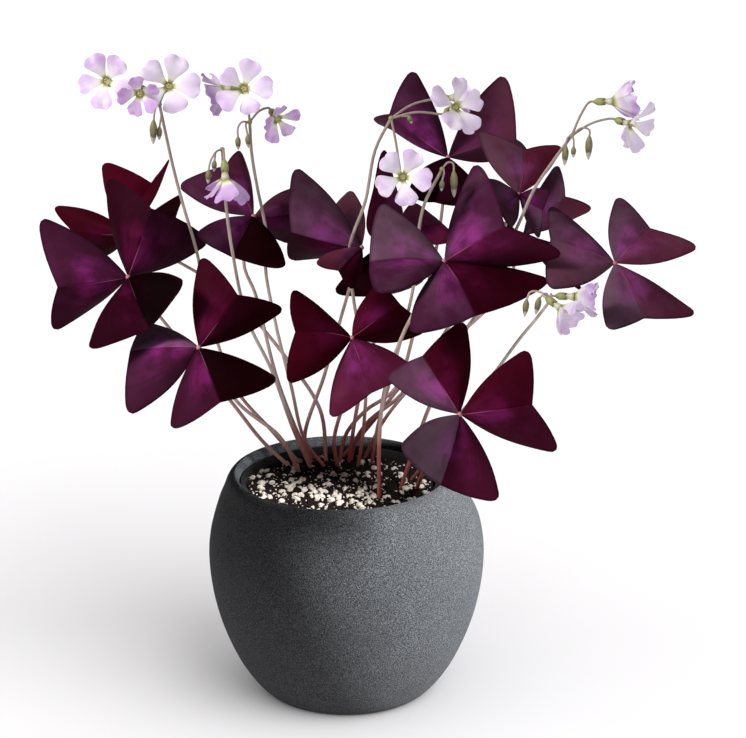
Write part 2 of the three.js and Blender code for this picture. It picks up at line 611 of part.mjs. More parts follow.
// The soil fills the liner to a low crown. Pale lumps of perlite stand out of it, and every stalk
// has its own plain hole.
const soilWall = (height) => THREE.MathUtils.mapLinear(height, linerFloor, LINER_RIM - 8,
  LINER_FOOT_RADIUS - 4 - LINER_WALL, LINER_RADIUS - LINER_WALL) - SEAT_GAP - 0.2;
const soilFoot = linerFloor + SEAT_GAP;
const soilEdge = SOIL_TOP - 0.7;
const SOIL_PROFILE = [
  [0, soilFoot], [soilWall(soilFoot), soilFoot], [soilWall(LINER_RIM - 8.5), LINER_RIM - 8.5],
  [soilWall(LINER_RIM - 8.5) + 0.5, soilEdge], [LINER_RADIUS * 0.75, SOIL_TOP + SOIL_CROWN * 0.4],
  [LINER_RADIUS * 0.4, SOIL_TOP + SOIL_CROWN * 0.8], [0, SOIL_TOP + SOIL_CROWN],
];
const soilGeometry = turned(SOIL_PROFILE, 24);
soilGeometry.translate(MOUTH_SHIFT, 0, 0);
let soil = solidOf(soilGeometry);
const LUMPS = 22;
for (let i = 0; i < LUMPS; i += 1) {
  const out = (LINER_RADIUS - 6) * Math.sqrt((i + 0.5) / LUMPS);
  const angle = i * 2.39996;
  const x = MOUTH_SHIFT + out * Math.cos(angle);
  const y = out * Math.sin(angle);
  const size = 1.8 + 0.35 * ((i * 7) % 5);
  const roots = [...LEAF_STALKS, ...FLOWER_STALKS].map(({ root }) => root);
  if (roots.every((root) => Math.hypot(x - root[0], y - root[1]) > size + 3)) {
    soil = soil.add(solidOf(ball(new THREE.Vector3(x, y, soilHeight(x, y) - 0.3), size, 0)));
  }
}
for (const hole of holes) {
  soil = soil.subtract(solidOf(hole));
}
group.add(named('soil', geometryOf(soil), material(0x241a18, 0.95)));

export default group;
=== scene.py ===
# %% [markdown]
# # A purple shamrock in a round pot
# This lesson dresses a finished solid model of a potted purple shamrock. The solids give every
# place and size. Here each one gets a finer shape and a finish that is made of nodes.
# Lengths in the tables are millimetres, because a maker thinks in them, and meshes are in metres.

# %% Load the solids and keep their size
import math

import bpy
from mathutils import Matrix, Vector, noise


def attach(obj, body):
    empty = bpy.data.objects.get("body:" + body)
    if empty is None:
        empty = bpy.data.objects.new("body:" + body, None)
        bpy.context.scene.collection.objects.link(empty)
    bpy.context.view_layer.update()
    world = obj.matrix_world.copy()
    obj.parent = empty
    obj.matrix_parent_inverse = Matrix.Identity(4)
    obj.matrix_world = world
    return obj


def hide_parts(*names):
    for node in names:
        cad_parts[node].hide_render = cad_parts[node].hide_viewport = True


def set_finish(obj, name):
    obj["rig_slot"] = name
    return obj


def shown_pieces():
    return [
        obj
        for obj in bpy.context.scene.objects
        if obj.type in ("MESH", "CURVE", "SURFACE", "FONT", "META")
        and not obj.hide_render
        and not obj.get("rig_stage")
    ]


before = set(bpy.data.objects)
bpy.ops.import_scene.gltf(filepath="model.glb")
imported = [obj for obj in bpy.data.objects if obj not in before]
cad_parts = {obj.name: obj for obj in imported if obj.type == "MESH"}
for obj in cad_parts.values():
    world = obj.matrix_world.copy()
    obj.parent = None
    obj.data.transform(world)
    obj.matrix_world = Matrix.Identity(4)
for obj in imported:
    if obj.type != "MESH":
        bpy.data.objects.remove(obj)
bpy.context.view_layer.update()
MM = 0.001

# %% [markdown]
# ## The camera, and a plant laid out as it is seen
# The plant is looked at from 18 degrees above the level and 1.2 metres away. Leaves and stems
# are easier to place as they are seen, so every place in the tables is across, up and toward the
# eye, and one function turns it into the room's own axes. A long lens keeps the pot upright.

# %% The way of looking
VIEW_TILT = math.radians(18)
EYE_DISTANCE = 1200
MIDDLE_ACROSS, MIDDLE_UP, MIDDLE_TOWARD = 13.8, 165.1, 53.6
AIM_HEIGHT = 173.7
VIEW_WIDTH = 380
SENSOR_WIDTH = 36
UP_SEEN = Vector((0, math.sin(VIEW_TILT), math.cos(VIEW_TILT)))
TOWARD_SEEN = Vector((0, -math.cos(VIEW_TILT), math.sin(VIEW_TILT)))


def seen(across, up, toward):
    """A place seen so many mm across and up from the pot's foot, and so many mm nearer the eye."""
    grow = 1 - (toward - MIDDLE_TOWARD) / EYE_DISTANCE
    x = MIDDLE_ACROSS + (across - MIDDLE_ACROSS) * grow
    rise = MIDDLE_UP + (up - MIDDLE_UP) * grow
    return Vector((x, 0, 0)) + UP_SEEN * rise + TOWARD_SEEN * toward


def depth_of(up, ahead):
    """The depth along the line of sight of a place that stands so far ahead of the pot's axis."""
    return (ahead + up * math.sin(VIEW_TILT)) / math.cos(VIEW_TILT)


def places_about(middle, ahead):
    """A function for the places about a knob or crown, which are counted from it as it is seen."""
    toward = depth_of(middle[1], ahead)
    return lambda p=(0, 0, 0): seen(middle[0] + p[0], middle[1] + p[1], toward + p[2])


target = Vector((MIDDLE_ACROSS, 0, AIM_HEIGHT)) * MM
camera_data = bpy.data.cameras.new("camera")
camera_data.sensor_width = SENSOR_WIDTH
camera_data.lens = SENSOR_WIDTH * EYE_DISTANCE / VIEW_WIDTH
camera = bpy.data.objects.new("camera", camera_data)
camera.location = target + TOWARD_SEEN * EYE_DISTANCE * MM
camera.rotation_euler = (math.pi / 2 - VIEW_TILT, 0, 0)
bpy.context.scene.collection.objects.link(camera)
bpy.context.scene.camera = camera
print("camera at", [round(x, 3) for x in camera.location])

# %% [markdown]
# ## The plan of the leaves
# A leaf of this plant is three leaflets on one small knob. Each leaflet is a broad triangle, held
# by its point, folded along its middle, with a shallow notch between two round lobes. Three places
# measured from the knob say all of that: one lobe, the notch, the other lobe.

# %% Leaves: knob (across, up), how far ahead of the pot's axis, and three leaflets
LEAVES = {
    "left": ((-111, 212), 5, (
        ((-44, 30, 0), (-36, -5, 8), (-37, -27, -18)),
        ((-11, 50, -8), (12, 35, 5), (41, 17, -30)),
        ((28, -2, 33), (11, -26, 24), (-20, -36, 28)))),
    "left_back": ((-110, 234), -50, (
        ((-14, 36, -23), (11, 26, -15), (20, 38, -10)),
        ((-38, 14, -15), (-29, 1, -12), (-23, -15, -30)),
        ((26, 20, 22), (23, 8, 22), (15, -12, 26)))),
    "upper_left": ((-47, 243), -30, (
        ((-38, 15, -18), (-14, 26, -12), (-6, 33, -30)),
        ((28, 16, -32), (23, 1, -20), (18, -14, -36)),
        ((-29, -9, 33), (-11, -21, 24), (16, -26, 32)))),
    "middle": ((8, 227), -20, (
        ((-33, 41, -3), (-36, 8, 6), (-35, -7, -28)),
        ((-22, 11, -38), (-16, 18, -30), (-5, 29, -34)),
        ((-23, -8, 40), (-12, -12, 33), (-5, -21, 36)))),
    "big_right": ((50, 220), 20, (
        ((-31, 30, -8), (-38, 0, 8), (-33, -16, 34)),
        ((16, 50, -18), (31, 18, 6), (60, 3, 0)),
        ((-17, -36, 34), (16, -28, 22), (54, -9, -5)))),
    "top": ((52, 273), -45, (
        ((-17, 44, -14), (-30, 22, 4), (-37, 18, -28)),
        ((28, 42, -8), (35, 9, -8), (39, 2, -30)),
        ((-20, -19, 40), (-7, -23, 28), (16, -24, 38)))),
    "upper_right": ((88, 254), -30, (
        ((-21, 32, -2), (3, 23, -8), (22, 24, -20)),
        ((-16, 8, 22), (-10, -6, 18), (-4, -17, 24)),
        ((15, 2, 22), (12, -8, 16), (10, -22, 20)))),
    "right": ((137, 219), 0, (
        ((-32, 29, -8), (-33, 12, 4), (-33, -13, 22)),
        ((1, 34, -26), (18, 18, -12), (42, 8, -8)),
        ((-4, -33, 24), (15, -28, 14), (41, -25, -4)))),
    "low_middle": ((3, 181), 20, (
        ((-29, 25, -18), (-29, 3, 14), (-32, -23, 24)),
        ((12, 27, -34), (25, 17, -20), (37, 3, -26)),
        ((31, -15, 15), (10, -28, 16), (-11, -40, 18)))),
    "low_left": ((-75, 176), 35, (
        ((-25, 13, -30), (-35, -2, -4), (-35, -34, 4)),
        ((1, 46, -6), (20, 27, 0), (43, 19, -12)),
        ((-14, -41, 16), (11, -28, 16), (40, -16, 8)))),
    "front": ((58, 142), 68, (
        ((-37, 18, -14), (-19, 30, -6), (3, 47, -16)),
        ((34, 33, -10), (37, 5, 0), (49, -19, -14)),
        ((-30, -16, 32), (-10, -36, 10), (20, -43, 6)))),
    "right_back": ((90, 233), -35, (
        ((17, 36, -8), (22, 20, 0), (35, 13, -18)),
        ((27, -7, -26), (25, -18, 0), (30, -28, 10)),
        ((-28, 12, -20), (-26, -2, -14), (-25, -16, -24)))),
    "middle_back": ((30, 234), -40, (
        ((-10, 43, -8), (-16, 23, 12), (-19, 0, 30)),
        ((4, 16, 38), (18, 6, 24), (26, -3, 32)),
        ((-36, -29, -4), (-9, -31, 2), (10, -23, 16)))),
}
print("leaves:", len(LEAVES), "leaflets:", sum(len(leaf[2]) for leaf in LEAVES.values()))

# %% [markdown]
# ## The plan of the stems
# Every leaf has a long thin stem of its own, and every head of flowers has one too. A stem is
# given by where it stands in the soil, and then by the places that it passes on its way up.
# The third number of a place, where there is one, brings it that much nearer the eye.

# %% Leaf stems: root (right of the axis, behind it), then places seen (across, up)
LEAF_STEMS = {
    "left": ((-30, 24), ((-43, 129), (-58, 148), (-85, 180))),
    "left_back": ((-11, 32), ((-13, 144), (-29, 169), (-59, 203), (-91, 223))),
    "upper_left": ((-18, 28), ((-23, 129), (-35, 160), (-46, 203), (-52, 219))),
    "middle": ((-17, 36), ((-21, 129), (-11, 162), (0, 200))),
    "big_right": ((17, -21), ((17, 129), (20, 156), (30, 185))),
    "top": ((-4, 30), ((0, 132), (10, 144), (25, 155), (35, 185), (46, 226))),
    "upper_right": ((2, 35), ((5, 129), (12, 139), (28, 152), (48, 180), (73, 221))),
    "right": ((28, -8), ((38, 134), (43, 147), (63, 188), (84, 207), (112, 210, -8))),
    "low_middle": ((-5, 24), ((-6, 129), (-1, 150))),
    "low_left": ((-25, 16), ((-34, 131), (-54, 147))),
    "front": ((36, -8), ((40, 114), (50, 129))),
    "right_back": ((-3, 38), ((15, 140), (31, 160), (80, 205))),
    "middle_back": ((1, 31), ((3, 129, 4), (7, 152, 6), (19, 195, -14))),
}

# %% Flower stalks: root, places passed, crown, and how far ahead of the axis the crown stands
# A bloom is its throat from the crown, the way that it faces, petal length, opening, turn and
# wash, which is partly its own tint and partly painted light.
# A bud is the places of its stem, its lower end and its length.
FLOWER_STALKS = {
    "left": ((-25, 31), ((-38, 134), (-56, 155), (-70, 195), (-76, 225), (-83, 249), (-88, 268)),
             (-95, 300), -10,
             (((-27, 12, 2), (-0.15, 0.05, 1), 16, 75, 33, 0.3),
              ((-10, 5.5, 24), (0.15, -0.5, 0.85), 12, 60, 20, -0.6),
              ((4.8, 9.3, 8.5), (0.1, 0.05, 1), 16, 75, 58, 0.9)),
             ((((-2, -2, 3),), (-3, -9, 3), 11), (((1, -4, 1),), (0, -12, 1), 6))),
    "upper_left": ((-12, 24), ((-21, 129), (-28, 157), (-36, 189), (-41, 217, -8), (-40, 230, -18),
                               (-42, 243, -24), (-45, 257, -14), (-48, 275, -8)),
                   (-49, 291), -5,
                   (((-3, 17, 11), (0, 0.05, 1), 15, 75, 60, 0.6),
                    ((-13, 16.5, -6), (-1, -0.25, -0.2), 13, 50, 20, -0.4),
                    ((14, 1.5, 3), (0.35, -0.5, 0.65), 12, 62, 10, -0.4)),
                   ((((-4, 0, 1), (-6, -3, 1)), (-6, -8, 1), 6), (((-2, -1, 4),), (-1, -7, 5), 6))),
    "middle_left": ((-19, 21), ((-27, 135), (-38, 165), (-50, 190), (-58, 226, 9), (-61, 248, 6)),
                    (-63, 277), 12,
                    (((1.5, -15, 5.5), (0.03, -0.95, -0.3), 15, 49, 18, -0.8),),
                    ((((-3, -1, 0),), (-4, -6, 0), 5), (((-3, -1, 3), (-6, -6, 4)), (-7, -11, 4), 6))),
    "middle": ((6, 24), ((9, 135), (10, 165), (4, 200), (1.5, 223, -6), (3, 232, -3), (10, 251),
                         (15, 277)),
               (23, 293), -5,
               (((33, 5.5, 8), (0.55, 0.2, 0.8), 16, 74, 10, 0.8),
                ((32.5, 10.5, -9), (0.95, 0.1, -0.2), 11, 48, 30, 0.3),
                ((6, -30, 10), (0.05, 0, 1), 15, 75, 50, 0.6)),
               ((((4, 1, 0),), (9, 1, 0), 4),)),
    "right": ((9, 37), ((20, 140), (45, 170), (70, 205, 6), (87, 237, 18), (96, 257, 12),
                        (104, 269, 4)),
              (115, 284), -10,
              (((21, 17.5, -4), (0.95, 0, 0.15), 15, 40, 10, -0.1),
               ((30, 6, 12), (0.75, -0.3, 0.6), 15, 60, 40, 0.9)),
              ((((5, 4, 3), (9, 3, 4)), (9, -1, 4), 11), (((1, -2, 3),), (1, -6, 3), 5),
               (((-2, -1, 1),), (-3, -6, 1), 9))),
    "low_right": ((34, 6), ((43, 121), (51.5, 134), (63, 148), (77, 165), (88, 180), (97.5, 191.5)),
                  (104, 200), 38,
                  (((12.5, 2, -5), (0.95, -0.05, 0.25), 13, 45, 10, 0.2),
                   ((5.5, -4, 11), (0.7, -0.55, 0.35), 12, 50, 0, 0.4)),
                  ((((-4, 4, 1), (-10, 4.5, 1)), (-12, 0, 1), 8), (((-3, 3.5, 3),), (-5.5, 1, 4), 8))),
    "short": ((13, 28), ((16, 135), (24, 165), (34, 205, -4), (39, 246, -8)), (49, 267), 3, (),
              ((((3, 3.5, 1), (5.5, 3, 1)), (6, -2, 1), 12), (((1, -1, 3),), (0, -6, 4), 5))),
}
print("stems:", len(LEAF_STEMS) + len(FLOWER_STALKS))

# %% [markdown]
# ## A short way to write nodes
# A finish here is a node tree: coordinates, a few textures, ramps that turn a texture into a
# colour, and one shader. A shape that follows a rule is a node tree as well. Writing every link
# by hand hides the idea, so one small class adds a node, sets its sockets by name and links
# whatever is a socket already. A finish then adds ramps, grain and relief to that.

# %% Nodes and finishes


class Network:
    """Nodes that are added one by one to self.tree."""

    def put(self, socket, value):
        """Links the value where it is a socket, and sets it otherwise."""
        if isinstance(value, bpy.types.NodeSocket):
            self.tree.links.new(value, socket)
        else:
            socket.default_value = value

    def add(self, kind, settings=(), **sockets):
        """A new node. In a socket's name, an underline stands for a space."""
        made = self.tree.nodes.new(kind)
        for key, value in dict(settings).items():
            setattr(made, key, value)
        for key, value in sockets.items():
            self.put(made.inputs[key.replace("_", " ")], value)
        return made

    def math(self, operation, a, b=0.0, clamp=False):
        made = self.add("ShaderNodeMath", {"operation": operation, "use_clamp": clamp})
        self.put(made.inputs[0], a)
        self.put(made.inputs[1], b)
        return made.outputs[0]

    def plus(self, a, b, clamp=False):
        return self.math("ADD", a, b, clamp)

    def minus(self, a, b):
        return self.math("SUBTRACT", a, b)

    def times(self, a, b):
        return self.math("MULTIPLY", a, b)

    def swing(self, value, reach):
        """How far the value swings from a half, times the reach."""
        return self.times(self.minus(value, 0.5), reach)


class Finish(Network):
    """A material made of nodes that end in one shader."""

    def __init__(self, name, roughness, **shader_values):
        self.material = bpy.data.materials.new(name)
        self.material.use_nodes = True
        self.tree = self.material.node_tree
        self.shader = self.tree.nodes["Principled BSDF"]
        self.shader.inputs["Roughness"].default_value = roughness
        for socket, value in shader_values.items():
            self.shader.inputs[socket.replace("_", " ")].default_value = value
        self.place = self.add("ShaderNodeTexCoord").outputs["Object"]

    def ramp(self, value, stops, smooth=False):
        """A colour or grey that runs with the value. A stop is a place from 0 to 1 and its tone."""
        made = self.add("ShaderNodeValToRGB", Fac=value)
        if smooth:
            made.color_ramp.interpolation = "EASE"
        elements = made.color_ramp.elements
        while len(elements) < len(stops):
            elements.new(0.5)
        for element, (place, tone) in zip(elements, stops):
            element.position = place
            element.color = (*tone, 1) if isinstance(tone, tuple) else (tone, tone, tone, 1)
        return made.outputs["Color"]

    def blend(self, share, first, second):
        """The first where the share is 0, and the second where it is 1."""
        made = self.add("ShaderNodeMix", {"data_type": "RGBA"})
        self.put(made.inputs[0], share)
        for socket, value in ((made.inputs[6], first), (made.inputs[7], second)):
            self.put(socket, (*value, 1) if isinstance(value, tuple) else value)
        return made.outputs[2]

    def tint(self, base, colour, value, stops, smooth=False):
        """A colour laid over the base, as thickly as the ramp of the value says."""
        return self.blend(self.ramp(value, stops, smooth), base, colour)

    def grain(self, scale, detail=2.0, where=None):
        made = self.add("ShaderNodeTexNoise", Vector=where or self.place, Scale=scale, Detail=detail)
        return made.outputs["Fac"]

    def fibres(self, scale, detail, draw):
        """Grain that is drawn out along the upright axis."""
        where = self.add("ShaderNodeMapping", Vector=self.place, Scale=(1, 1, draw))
        return self.grain(scale, detail, where.outputs["Vector"])

    def own_map(self):
        """The piece's own map, its number from side to side, and its number lengthwise."""
        uv = self.add("ShaderNodeUVMap", {"uv_map": "blade"}).outputs["UV"]
        split = self.add("ShaderNodeSeparateXYZ", Vector=uv)
        return uv, split.outputs["X"], split.outputs["Y"]

    def streaks(self, uv, across, along):
        """Grain on the piece's own map, finer across than along."""
        where = self.add("ShaderNodeMapping", Vector=uv, Scale=(across, along, 1))
        return self.grain(1.0, 2, where.outputs["Vector"])

    def tones(self):
        """The four tones that the piece carries on its corners: on a leaflet the painted light of its
        two halves and their red, on a petal its paler and its deeper wash.
        """
        kept = self.add("ShaderNodeVertexColor", {"layer_name": "tone"})
        split = self.add("ShaderNodeSeparateColor", Color=kept.outputs["Color"]).outputs
        return split["Red"], split["Green"], split["Blue"], kept.outputs["Alpha"]

    def colour(self, value):
        self.put(self.shader.inputs["Base Color"], value)

    def bump(self, height, depth):
        """Relief so many mm deep."""
        made = self.add("ShaderNodeBump", Height=height, Distance=depth * MM, Strength=1.0)
        self.put(self.shader.inputs["Normal"], made.outputs["Normal"])


def speckled(name, roughness, grain, stops, relief=(), **shader_values):
    """A finish whose colour follows one grain, and whose relief, if any, follows another."""
    finish = Finish(name, roughness, **shader_values)
    finish.colour(finish.ramp(finish.grain(*grain), stops))
    if relief:
        *fine_grain, depth = relief
        finish.bump(finish.grain(*fine_grain), depth)
    return finish.material


# %% [markdown]
# ## Making a piece
# A mesh is a list of corners and a list of faces. Corners here are in millimetres and shrink to
# metres when the mesh is made. The finished object sits at the origin, unturned and unscaled, so
# that it moves as the solids do. Edges steeper than 50 degrees stay crisp.

# %% Meshes and pieces
CRISP_FROM = math.radians(50)


def make_mesh(name, corners, faces, uvs=None, tones=None, finishes=(), finish_of=None):
    """A mesh from mm corners. uvs and tones are one for each corner, finish_of one for each face."""
    mesh = bpy.data.meshes.new(name)
    mesh.from_pydata([corner * MM for corner in corners], [], faces)
    if uvs:
        layer = mesh.uv_layers.new(name="blade")
        for loop in mesh.loops:
            layer.data[loop.index].uv = uvs[loop.vertex_index]
    if tones:
        layer = mesh.color_attributes.new("tone", "FLOAT_COLOR", "POINT")
        for i, tone in enumerate(tones):
            layer.data[i].color = tone
    for finish in finishes:
        mesh.materials.append(finish)
    if finish_of:
        mesh.polygons.foreach_set("material_index", finish_of)
    mesh.shade_smooth()
    mesh.set_sharp_from_angle(angle=CRISP_FROM)
    mesh.update()
    return mesh


def place_piece(name, mesh, slot, *nodes):
    """Puts the mesh in the scene as a piece that stands for the named solids."""
    piece = bpy.data.objects.new(name, mesh)
    bpy.context.scene.collection.objects.link(piece)
    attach(piece, "root")
    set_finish(piece, slot)
    if nodes:
        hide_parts(*nodes)


class Shape:
    """Corners and faces that grow as parts are added."""

    def __init__(self):
        self.corners, self.faces, self.uvs, self.tones, self.finish_of = [], [], [], [], []

    def add(self, corners, faces, uvs=None, tone=(0, 0, 0, 0), finish=0):
        start = len(self.corners)
        self.corners += corners
        self.uvs += uvs or [(0, 0)] * len(corners)
        self.tones += [tone] * len(corners)
        self.faces += [[start + i for i in face] for face in faces]
        self.finish_of += finish if isinstance(finish, list) else [finish] * len(faces)

    def mesh(self, name, finishes):
        return make_mesh(name, self.corners, self.faces, self.uvs, self.tones, finishes, self.finish_of)


def outward(corners, faces):
    """The faces of a closed shape, turned over where they point inwards."""
    volume = 0
    for face in faces:
        a = corners[face[0]]
        for i in range(1, len(face) - 1):
            volume += a.dot(corners[face[i]].cross(corners[face[i + 1]]))
    return faces if volume > 0 else [list(reversed(face)) for face in faces]


THIN_EDGE = 0.5


def sheet_solid(grid, columns, thickness):
    """A sheet of rows and columns made solid, thinner at its edge. The under corners come last."""
    count = len(grid)
    rows = count // columns
    quads = []
    for row in range(rows - 1):
        for column in range(columns - 1):
            a = row * columns + column
            quads.append([a, a + 1, a + columns + 1, a + columns])
    normals = [Vector() for _ in grid]
    for a, b, c, d in quads:
        normal = (grid[c] - grid[a]).cross(grid[d] - grid[b])
        for corner in (a, b, c, d):
            normals[corner] += normal
    under = []
    for i, place in enumerate(grid):
        row, column = divmod(i, columns)
        at_edge = row in (0, rows - 1) or column in (0, columns - 1)
        share = THIN_EDGE if at_edge else 1.0
        under.append(place - normals[i].normalized() * thickness * share)
    edge = [(0, c) for c in range(columns - 1)] + [(r, columns - 1) for r in range(rows - 1)]
    edge += [(rows - 1, c) for c in range(columns - 1, 0, -1)]
    edge += [(r, 0) for r in range(rows - 1, 0, -1)]
    rim = [r * columns + c for r, c in edge]
    faces = [list(quad) for quad in quads]
    faces += [[i + count for i in reversed(quad)] for quad in quads]
    for i, a in enumerate(rim):
        b = rim[(i + 1) % len(rim)]
        faces.append([b, a, a + count, b + count])
    corners = grid + under
    return corners, outward(corners, faces)


# %% [markdown]
# ## The leaflets
# A real leaflet is a thin folded sheet. It could be cut from a flat plane with a picture of a
# leaf, but then the side view would be wrong, so every leaflet is a true surface: two halves that
# meet in a crisp fold, with a gentle arch, rounded lobes and a faintly waved edge.

# %% One half of a leaflet
# Bulges, arch and reach are shares of a leaflet's length or edge. The rises and the drop are
# shares of the arch, and the ripples are in mm.
SIDE_BULGE, TIP_EDGE_BULGE = 0.085, 0.045
TIP_REACH = 1.05
BLADE_ARCH, FOLD_RISE, FACE_RISE, EDGE_DROP = 0.06, 0.6, 0.8, 0.5
EDGE_RIPPLE, TIP_RIPPLE = 0.35, 0.25
ROUND_ALONG, ROUND_ASIDE = 0.9, 0.78


def rounded_shares(along, aside):
    """Rounds the far corner of a half leaflet, where both shares are near 1."""
    long_part, side_part = 1 - ROUND_ALONG, 1 - ROUND_ASIDE
    a = max(0, (along - ROUND_ALONG) / long_part)
    b = max(0, (aside - ROUND_ASIDE) / side_part)
    if a == 0 or b == 0:
        return along, aside
    return (ROUND_ALONG + long_part * a * math.sqrt(1 - b * b / 2),
            ROUND_ASIDE + side_part * b * math.sqrt(1 - a * a / 2))


def half_place(hub, notch, tip, up_normal, along, aside, wave):
    """A place on a half leaflet: along from the knob outwards, aside from the fold to the edge."""
    t, s = rounded_shares(along, aside)
    to_notch = notch - hub
    to_tip = (tip - hub) * TIP_REACH
    edge = to_tip - to_notch
    face = to_notch.cross(to_tip).normalized()
    side_out = face.cross(to_tip).normalized()
    if side_out.dot(to_notch) > 0:
        side_out.negate()
    far_out = face.cross(edge).normalized()
    if far_out.dot(to_notch) < 0:
        far_out.negate()
    if face.dot(up_normal) < 0:
        face.negate()
    swell, spread = math.sin(math.pi * min(1, t)), math.sin(math.pi * min(1, s))
    rise = BLADE_ARCH * to_tip.length * swell
    place = hub + to_notch * t * (1 - s) + to_tip * t * s
    place += side_out * s * SIDE_BULGE * to_tip.length * swell
    place += far_out * t * TIP_EDGE_BULGE * edge.length * spread
    place += up_normal * rise * (1 - s) * FOLD_RISE
    ripple = EDGE_RIPPLE * s * s * t * math.sin(wave + 9 * t)
    ripple += TIP_RIPPLE * t ** 6 * math.sin(wave + 7 * s)
    place += face * (rise * (FACE_RISE * spread - EDGE_DROP * s * s) + ripple)
    return place


# %% One leaflet, and the ball that makes a knob
BLADE_THICKNESS = 0.42
ROWS, HALF_COLUMNS = 18, 9
FIRST_ROW = 0.02
UPPER, KNOB, UNDER = 0, 1, 2


def leaflet(shape, hub, tip_a, notch, tip_b, tone, wave):
    """Adds one folded leaflet to the shape."""
    face_a = (notch - hub).cross(tip_a - hub).normalized()
    face_b = (tip_b - hub).cross(notch - hub).normalized()
    up_normal = (face_a + face_b).normalized()
    if up_normal.z < 0.2 * up_normal.y:
        up_normal.negate()
    grid, uvs = [], []
    for row in range(ROWS):
        along = FIRST_ROW + (1 - FIRST_ROW) * (row / (ROWS - 1)) ** 0.92
        for column in range(-HALF_COLUMNS, HALF_COLUMNS + 1):
            aside = math.sin(abs(column) / HALF_COLUMNS * math.pi / 2) ** 0.9
            tip = tip_a if column < 0 else tip_b
            grid.append(half_place(hub, notch, tip, up_normal, along, aside, wave))
            uvs.append((0.5 + math.copysign(aside, column) / 2, along))
    corners, faces = sheet_solid(grid, 2 * HALF_COLUMNS + 1, BLADE_THICKNESS)
    count = len(grid)
    first_is_upper = (corners[0] - corners[count]).dot(up_normal) > 0
    is_under = [min(face) >= count if first_is_upper else max(face) < count for face in faces]
    shape.add(corners, faces, uvs * 2, tone, [UNDER if under else UPPER for under in is_under])


def cap_faces(rings, sides):
    """Faces from a pole, which is corner 0, over the rings of corners that follow it."""
    faces = []
    for side in range(sides):
        after = (side + 1) % sides
        faces.append([0, 1 + side, 1 + after])
        for ring in range(rings - 1):
            a = 1 + ring * sides
            faces.append([a + side, a + sides + side, a + sides + after, a + after])
    return faces


def ball(shape, centre, radius, finish=0, rings=7, sides=12):
    """Adds a small closed ball to the shape."""
    corners = [centre + Vector((0, 0, radius))]
    for ring in range(1, rings + 1):
        tilt = math.pi * ring / (rings + 1)
        for side in range(sides):
            turn = 2 * math.pi * side / sides
            out = Vector((math.cos(turn), math.sin(turn), 0)) * math.sin(tilt)
            corners.append(centre + radius * (out + Vector((0, 0, math.cos(tilt)))))
    corners.append(centre - Vector((0, 0, radius)))
    last = len(corners) - 1
    faces = cap_faces(rings, sides)
    faces += [[last, last - sides + (i + 1) % sides, last - sides + i] for i in range(sides)]
    shape.add(corners, outward(corners, faces), finish=finish)


# %% [markdown]
# ## The purple of the leaf
# A purple leaf has a waxy bloom. A half that faces the window looks milky and greyish, and the
# half beyond the fold is a deep plum that goes to black; here that light and shade is painted
# into the colour. A magenta flame lies along the fold. One could paint every blade on its own.
# Here one finish serves all: each leaflet carries a map whose first number runs from edge to edge
# and whose second runs from the knob outwards, and four tones on its corners give each half its
# painted light, from a painted black shade to a painted milky sheen, and its red, which is partly
# the redder hue of the leaf and partly painted light that shines through a backlit leaflet. The
# under face is duller and redder.

# %% Leaf finish
# These colours paint light and shade: black and deep plum are painted shade, the milky grey is a
# painted sheen of a lit half, and each ramp holds shaded and lit copies of the body, red and flame.
PAINTED_SHADE_BLACK, DEEP, PLUM = (0.0025, 0.0003, 0.0006), (0.023, 0.0014, 0.0070), (0.045, 0.0090, 0.027)
MILKY_PAINTED_SHEEN = (0.103, 0.057, 0.082)
BODY_BY_PAINTED_LIGHT = [(0.0, PAINTED_SHADE_BLACK), (0.35, DEEP), (0.65, PLUM), (1.0, MILKY_PAINTED_SHEEN)]
RED_BY_PAINTED_LIGHT = [(0.0, (0.008, 0.0003, 0.001)), (0.3, (0.034, 0.0008, 0.0045)), (0.7, (0.110, 0.0035, 0.018))]
GLOW = [(0.0, (0.006, 0.0003, 0.002)), (0.35, (0.085, 0.004, 0.033)), (0.65, (0.165, 0.015, 0.122)),
        (1.0, (0.210, 0.058, 0.180))]
CRIMSON = (0.075, 0.0015, 0.013)
VEIN_COLOUR, RIB_COLOUR, EDGE_COLOUR = (0.10, 0.01, 0.06), (0.42, 0.16, 0.20), (0.012, 0.0015, 0.005)
VEIN_COUNT, VEIN_SLANT = 9, 0.38


